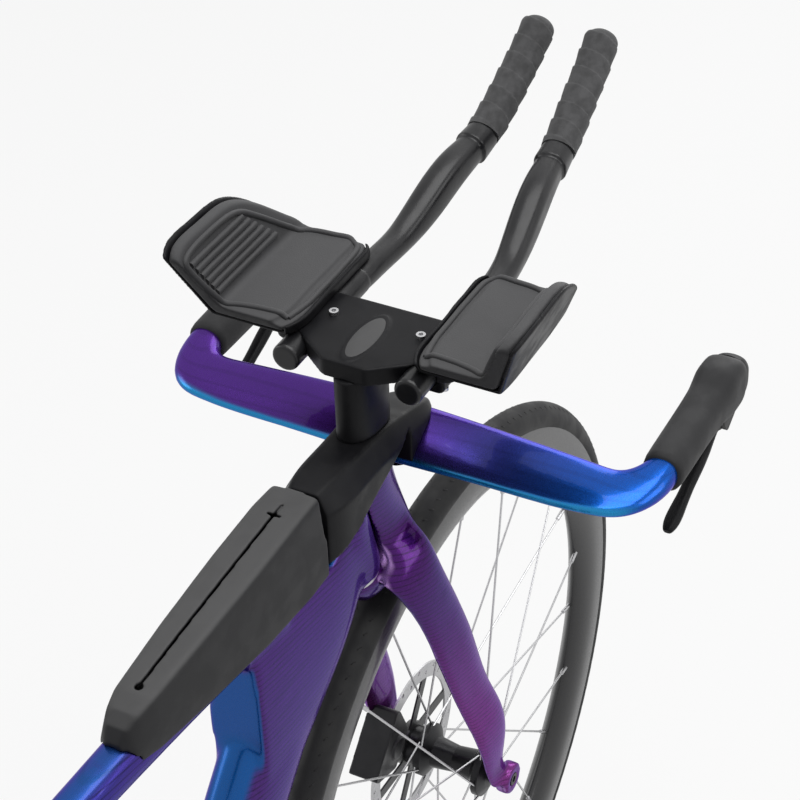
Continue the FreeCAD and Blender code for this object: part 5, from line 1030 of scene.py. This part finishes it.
@dataclass
class Frameset:
    """Moulded frame, stays, fork and storage box.

    Bands are places along one axis, in metres, between which a piece is smoothed further.
    """

    shop: Workshop
    calf: float = 0.001
    cheek: float = 0.001
    notch_x: Band = (0.28, 0.31, 0.40, 0.43)
    notch_z: Band = (0.63, 0.655, 0.73, 0.755)
    crown_z: Band = (0.57, 0.655, 0.705, 0.74)
    ankle_z: Band = (0.36, 0.385, 0.44, 0.50)
    notch_passes: int = 60
    crown_passes: int = 200
    ankle_passes: int = 60
    box_passes: int = 50
    box_front: float = 0.262
    box_top: float = 0.826
    box_fall: float = 0.05
    slit_edge: Pair = (0.0068, 0.0085)
    rim_depth: Pair = (0.04, 0.03)

    def build(self) -> None:
        """Make the moulded shells."""
        frame = self.shop.moulded("main_frame")
        self.shop.relax(frame, self.notch_passes, self.notch)
        fork = self.shop.moulded("fork")
        self.shop.relax(fork, self.crown_passes, self.crown)
        self.shop.shift(fork, lambda place, normal: normal * (self.cheek * self.crown(place)))
        self.shop.shift(fork, lambda place, normal: normal * (self.calf * self.ankle(place)))
        self.shop.relax(fork, self.ankle_passes, self.ankle)
        for side, _ in SIDES:
            self.shop.moulded("chainstay", side)
            self.shop.moulded("seatstay", side)
        box = self.shop.moulded("storage_box", key="lid", also=("storage_box_lid",))
        self.shop.relax(box, self.box_passes, self.shoulder)
        for end, _ in ENDS:
            self.shop.moulded("caliper", end)

    def notch(self, place: Vector) -> float:
        """Share of smoothing where the frame leaves room for the turning fork."""
        return band(place.x, self.notch_x) * band(place.z, self.notch_z)

    def crown(self, place: Vector) -> float:
        """Share of smoothing at the fork's crown."""
        return band(place.z, self.crown_z)

    def ankle(self, place: Vector) -> float:
        """Share of smoothing where the fork's legs narrow to the axle."""
        return band(place.z, self.ankle_z)

    def shoulder(self, place: Vector) -> float:
        """Share of smoothing on the storage box: its rounded shoulders, but not the slit and the rim."""
        top = self.box_top - self.box_fall * (self.box_front - place.x)
        deep, shallow = self.rim_depth
        return ramp(abs(place.y), *self.slit_edge) * ramp(place.z, top - deep, top - shallow)


@dataclass
class Cockpit:
    """Base bar, hoods, stem, bridge, cups, pads and grips."""

    shop: Workshop
    grip_path: tuple[Triple, ...] = (
        (142.0, 33.2, 907.0), (166.0, 31.7, 917.2), (192.0, 30.4, 930.8), (216.0, 29.4, 943.8),
        (238.0, 28.3, 958.5), (244.6, 28.0, 962.9))
    tape_radius: float = 0.0138
    tape_pitch: float = 0.0175
    tape_lap: float = 0.0013
    tape_tip: float = 0.085
    tape_slack: float = 0.05
    hood_rows: tuple[tuple[float, float, float, float, float], ...] = (
        (-37.5, 15.4, 748.6, 780.4, 2.4), (-36.0, 16.6, 747.4, 781.6, 2.4), (0.0, 16.6, 747.4, 781.8, 2.5),
        (38.0, 16.4, 746.8, 782.6, 2.7), (56.0, 16.6, 745.6, 783.4, 3.0), (60.0, 16.8, 745.2, 784.2, 3.2),
        (71.0, 17.4, 743.2, 787.6, 3.8), (75.0, 17.5, 742.6, 788.2, 4.2), (92.0, 17.2, 741.2, 786.8, 4.4),
        (98.0, 16.8, 740.2, 784.6, 4.2), (105.0, 15.6, 738.8, 780.2, 3.6), (106.0, 15.0, 739.4, 779.4, 3.4))
    hood_points: int = 48
    hood_half: float = 0.0166
    rib_count: int = 6
    rib_pitch: float = 5.6
    rib_half: float = 0.0025
    rib_steps: int = 6
    rib_first: float = 22.0
    rib_rear: float = -138.0
    rib_front: float = -40.0
    rib_shorten: float = 0.5
    wing_lean: float = 0.42
    wing_slope: float = 0.37
    wing_foot: float = 103.0
    pad_floor: float = 886.0
    bead_path: tuple[Triple, ...] = (
        (-139.0, 56.0, 13.0), (-141.0, 84.0, 13.0), (-147.0, 104.0, 17.0), (-162.0, 117.0, 46.0),
        (-159.0, 121.0, 58.0), (-120.0, 122.0, 60.0), (-90.0, 120.0, 57.0), (-70.0, 116.0, 44.0),
        (-44.0, 106.0, 22.0), (-34.0, 98.0, 14.0), (-31.0, 78.0, 13.0), (-32.0, 56.0, 13.0),
        (-60.0, 52.0, 13.0), (-110.0, 52.0, 13.0), (-139.0, 56.0, 13.0))
    cover_place: Triple = (-125.0, 0.0, 885.6)
    cover_half: Triple = (0.0305, 0.0106, 0.0028)
    cover_sides: int = 48

    def build(self) -> None:
        """Make the cockpit's moulded and soft pieces."""
        self.shop.moulded("base_bar")
        self.hoods()
        for kind in ("stem", "riser", "bridge"):
            self.shop.moulded(kind)
        for side, sign in SIDES:
            for kind in ("armrest_cup", "extension", "brake_lever"):
                self.shop.moulded(kind, side)
            pad = self.shop.moulded("arm_pad", side)
            self.rib(pad, side, sign)
        self.cover()
        self.wind()

    def hoods(self) -> None:
        """Make both hoods: a round grip that steps up to a square head."""
        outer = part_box("brake_hoods")[1][1]
        middle = (outer - self.hood_half) / MILLIMETRE
        build = bmesh.new()
        for _, sign in SIDES:
            rings = []
            for x, half, bottom, top, square in self.hood_rows:
                ring = []
                for index in range(self.hood_points):
                    turn = math.tau * index / self.hood_points
                    across = math.copysign(abs(math.cos(turn)) ** (2.0 / square), math.cos(turn))
                    rise = math.copysign(abs(math.sin(turn)) ** (2.0 / square), math.sin(turn))
                    z = (bottom + top) / 2.0 + rise * (top - bottom) / 2.0
                    ring.append(build.verts.new(front(x, sign * middle + across * half, z)))
                rings.append(ring)
            for near, far in zip(rings[:-1], rings[1:]):
                for i in range(self.hood_points):
                    j = (i + 1) % self.hood_points
                    build.faces.new((near[i], near[j], far[j], far[i]))
            build.faces.new(rings[0])
            build.faces.new(rings[-1])
        bmesh.ops.recalc_face_normals(build, faces=build.faces)
        mesh = bpy.data.meshes.new("hoods")
        build.to_mesh(mesh)
        build.free()
        item = self.shop.link("hoods", mesh)
        finer = item.modifiers.new("finer", "SUBSURF")
        finer.levels = 1
        finer.render_levels = 1
        self.shop.bake(item)
        self.shop.dress(item, "rubber")
        self.shop.seat(item, "brake_hoods")

    def wind(self) -> None:
        """Wind the grips' tape along both extensions."""
        rows = [[front(x, sign * y, z) for x, y, z in self.grip_path] for _, sign in SIDES]
        item = self.shop.grow(
            "grip_tape", lines("grip_path", rows), self.shop.growth.tape, "tape", Radius=self.tape_radius,
            Pitch=self.tape_pitch, Lap=self.tape_lap, Tip=self.tape_tip, Slack=self.tape_slack)
        self.shop.seat(item, "grip_tapes")

    def cover(self) -> None:
        """Make the domed oval cover on the bridge."""
        build = bmesh.new()
        sides = self.cover_sides
        bmesh.ops.create_uvsphere(build, u_segments=sides, v_segments=sides // 2, radius=1.0)
        shape = Matrix.Translation(front(*self.cover_place)) @ Matrix.Diagonal((*self.cover_half, 1.0))
        bmesh.ops.transform(build, matrix=shape, verts=build.verts)
        mesh = bpy.data.meshes.new("bridge_cover")
        build.to_mesh(mesh)
        build.free()
        item = self.shop.link("bridge_cover", mesh)
        self.shop.dress(item, "lid")
        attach(item, self.shop.node_body["bridge"])

    def rib(self, pad: Piece, side: str, sign: float) -> None:
        """Lay the lengthwise ribs on the inner face of a pad's wing, and the bead round the pad.

        Args:
            pad: The pad that the ribs lie on.
            side: Its name's first word.
            sign: Side of the bicycle, 1 to the left.
        """
        rows = []
        for index in range(self.rib_count):
            rise = self.rib_first + self.rib_pitch * index
            lean = self.wing_lean * rise
            y = sign * (self.wing_foot + self.wing_slope * rise)
            start = self.rib_rear - lean
            length = self.rib_front - self.rib_shorten * rise - lean - start
            steps = [start + length * step / self.rib_steps for step in range(self.rib_steps + 1)]
            rows.append([front(x, y, self.pad_floor + rise) for x in steps])
        rows.append([front(x, sign * across, self.pad_floor + rise) for x, across, rise in self.bead_path])
        seed = lines(side + "_rib_lines", rows)
        item = self.shop.grow(
            side + "_pad_ribs", seed, self.shop.growth.ribs, "foam", Surface=pad, Half_Width=self.rib_half)
        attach(item, self.shop.node_body[side + "_arm_pad"])


@dataclass
class Wheels:
    """Tread marks in a ring on each tyre."""

    shop: Workshop
    count: int = 168
    offset: float = 0.008
    mark_size: Triple = (0.0046, 0.0009, 0.001)
    sunk: float = 0.00028
    slant: float = 38.0
    above: float = 0.5
    stagger: float = 0.5

    def mark(self, name: str, tyre: Piece, hub: Vector) -> bpy.types.Mesh:
        """One pair of slanting tread marks at the top of a tyre, seen from its hub.

        Args:
            name: Name of the mesh.
            tyre: The tyre that the marks lie on.
            hub: Middle of its axle.

        Returns:
            The marks as a mesh.
        """
        build = bmesh.new()
        for sign, along in ((1.0, 0.0), (-1.0, self.stagger)):
            start = hub + Vector((0.0, sign * self.offset, self.above))
            _, place, normal, _ = tyre.ray_cast(start, -Vector(UP))
            made = bmesh.ops.create_cube(build, size=1.0)["verts"]
            shape = Matrix.Diagonal((*self.mark_size, 1.0))
            slant = Matrix.Rotation(math.radians(sign * self.slant), 4, "Z")
            lean = Vector(UP).rotation_difference(normal).to_matrix().to_4x4()
            seat = Matrix.Translation(place - hub - normal * self.sunk)
            turn = Matrix.Rotation(along * math.tau / self.count, 4, "Y")
            bmesh.ops.transform(build, matrix=turn @ seat @ lean @ slant @ shape, verts=made)
        mesh = bpy.data.meshes.new(name)
        build.to_mesh(mesh)
        build.free()
        return mesh

    def build(self) -> None:
        """Ring both tyres with tread."""
        bpy.context.view_layer.update()
        for end, sign in ENDS:
            node = end + "_tyre"
            hub = Vector((sign * FRONT_AXLE_X, 0.0, AXLE_Z))
            seed = self.mark(end + "_mark", self.shop.frame["nodes"][node], hub)
            item = self.shop.grow(
                end + "_tread", seed, self.shop.growth.ring, "tyre", Count=self.count, Hub=hub)
            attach(item, self.shop.node_body[node])


@dataclass
class Saddle:
    """Padded saddle."""

    shop: Workshop

    def build(self) -> None:
        """Make the cushioned cover."""
        pad = self.shop.moulded("saddle_pad")
        self.shop.moulded("saddle_shell")


def main() -> None:
    """Load the frame, dress it and set the studio."""
    logging.basicConfig(level=logging.INFO)
    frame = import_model()
    shop = Workshop(frame)
    Studio().build()
    for assembly in (Frameset(shop), Cockpit(shop), Saddle(shop), Wheels(shop)):
        assembly.build()


if __name__ == "__main__":
    main()
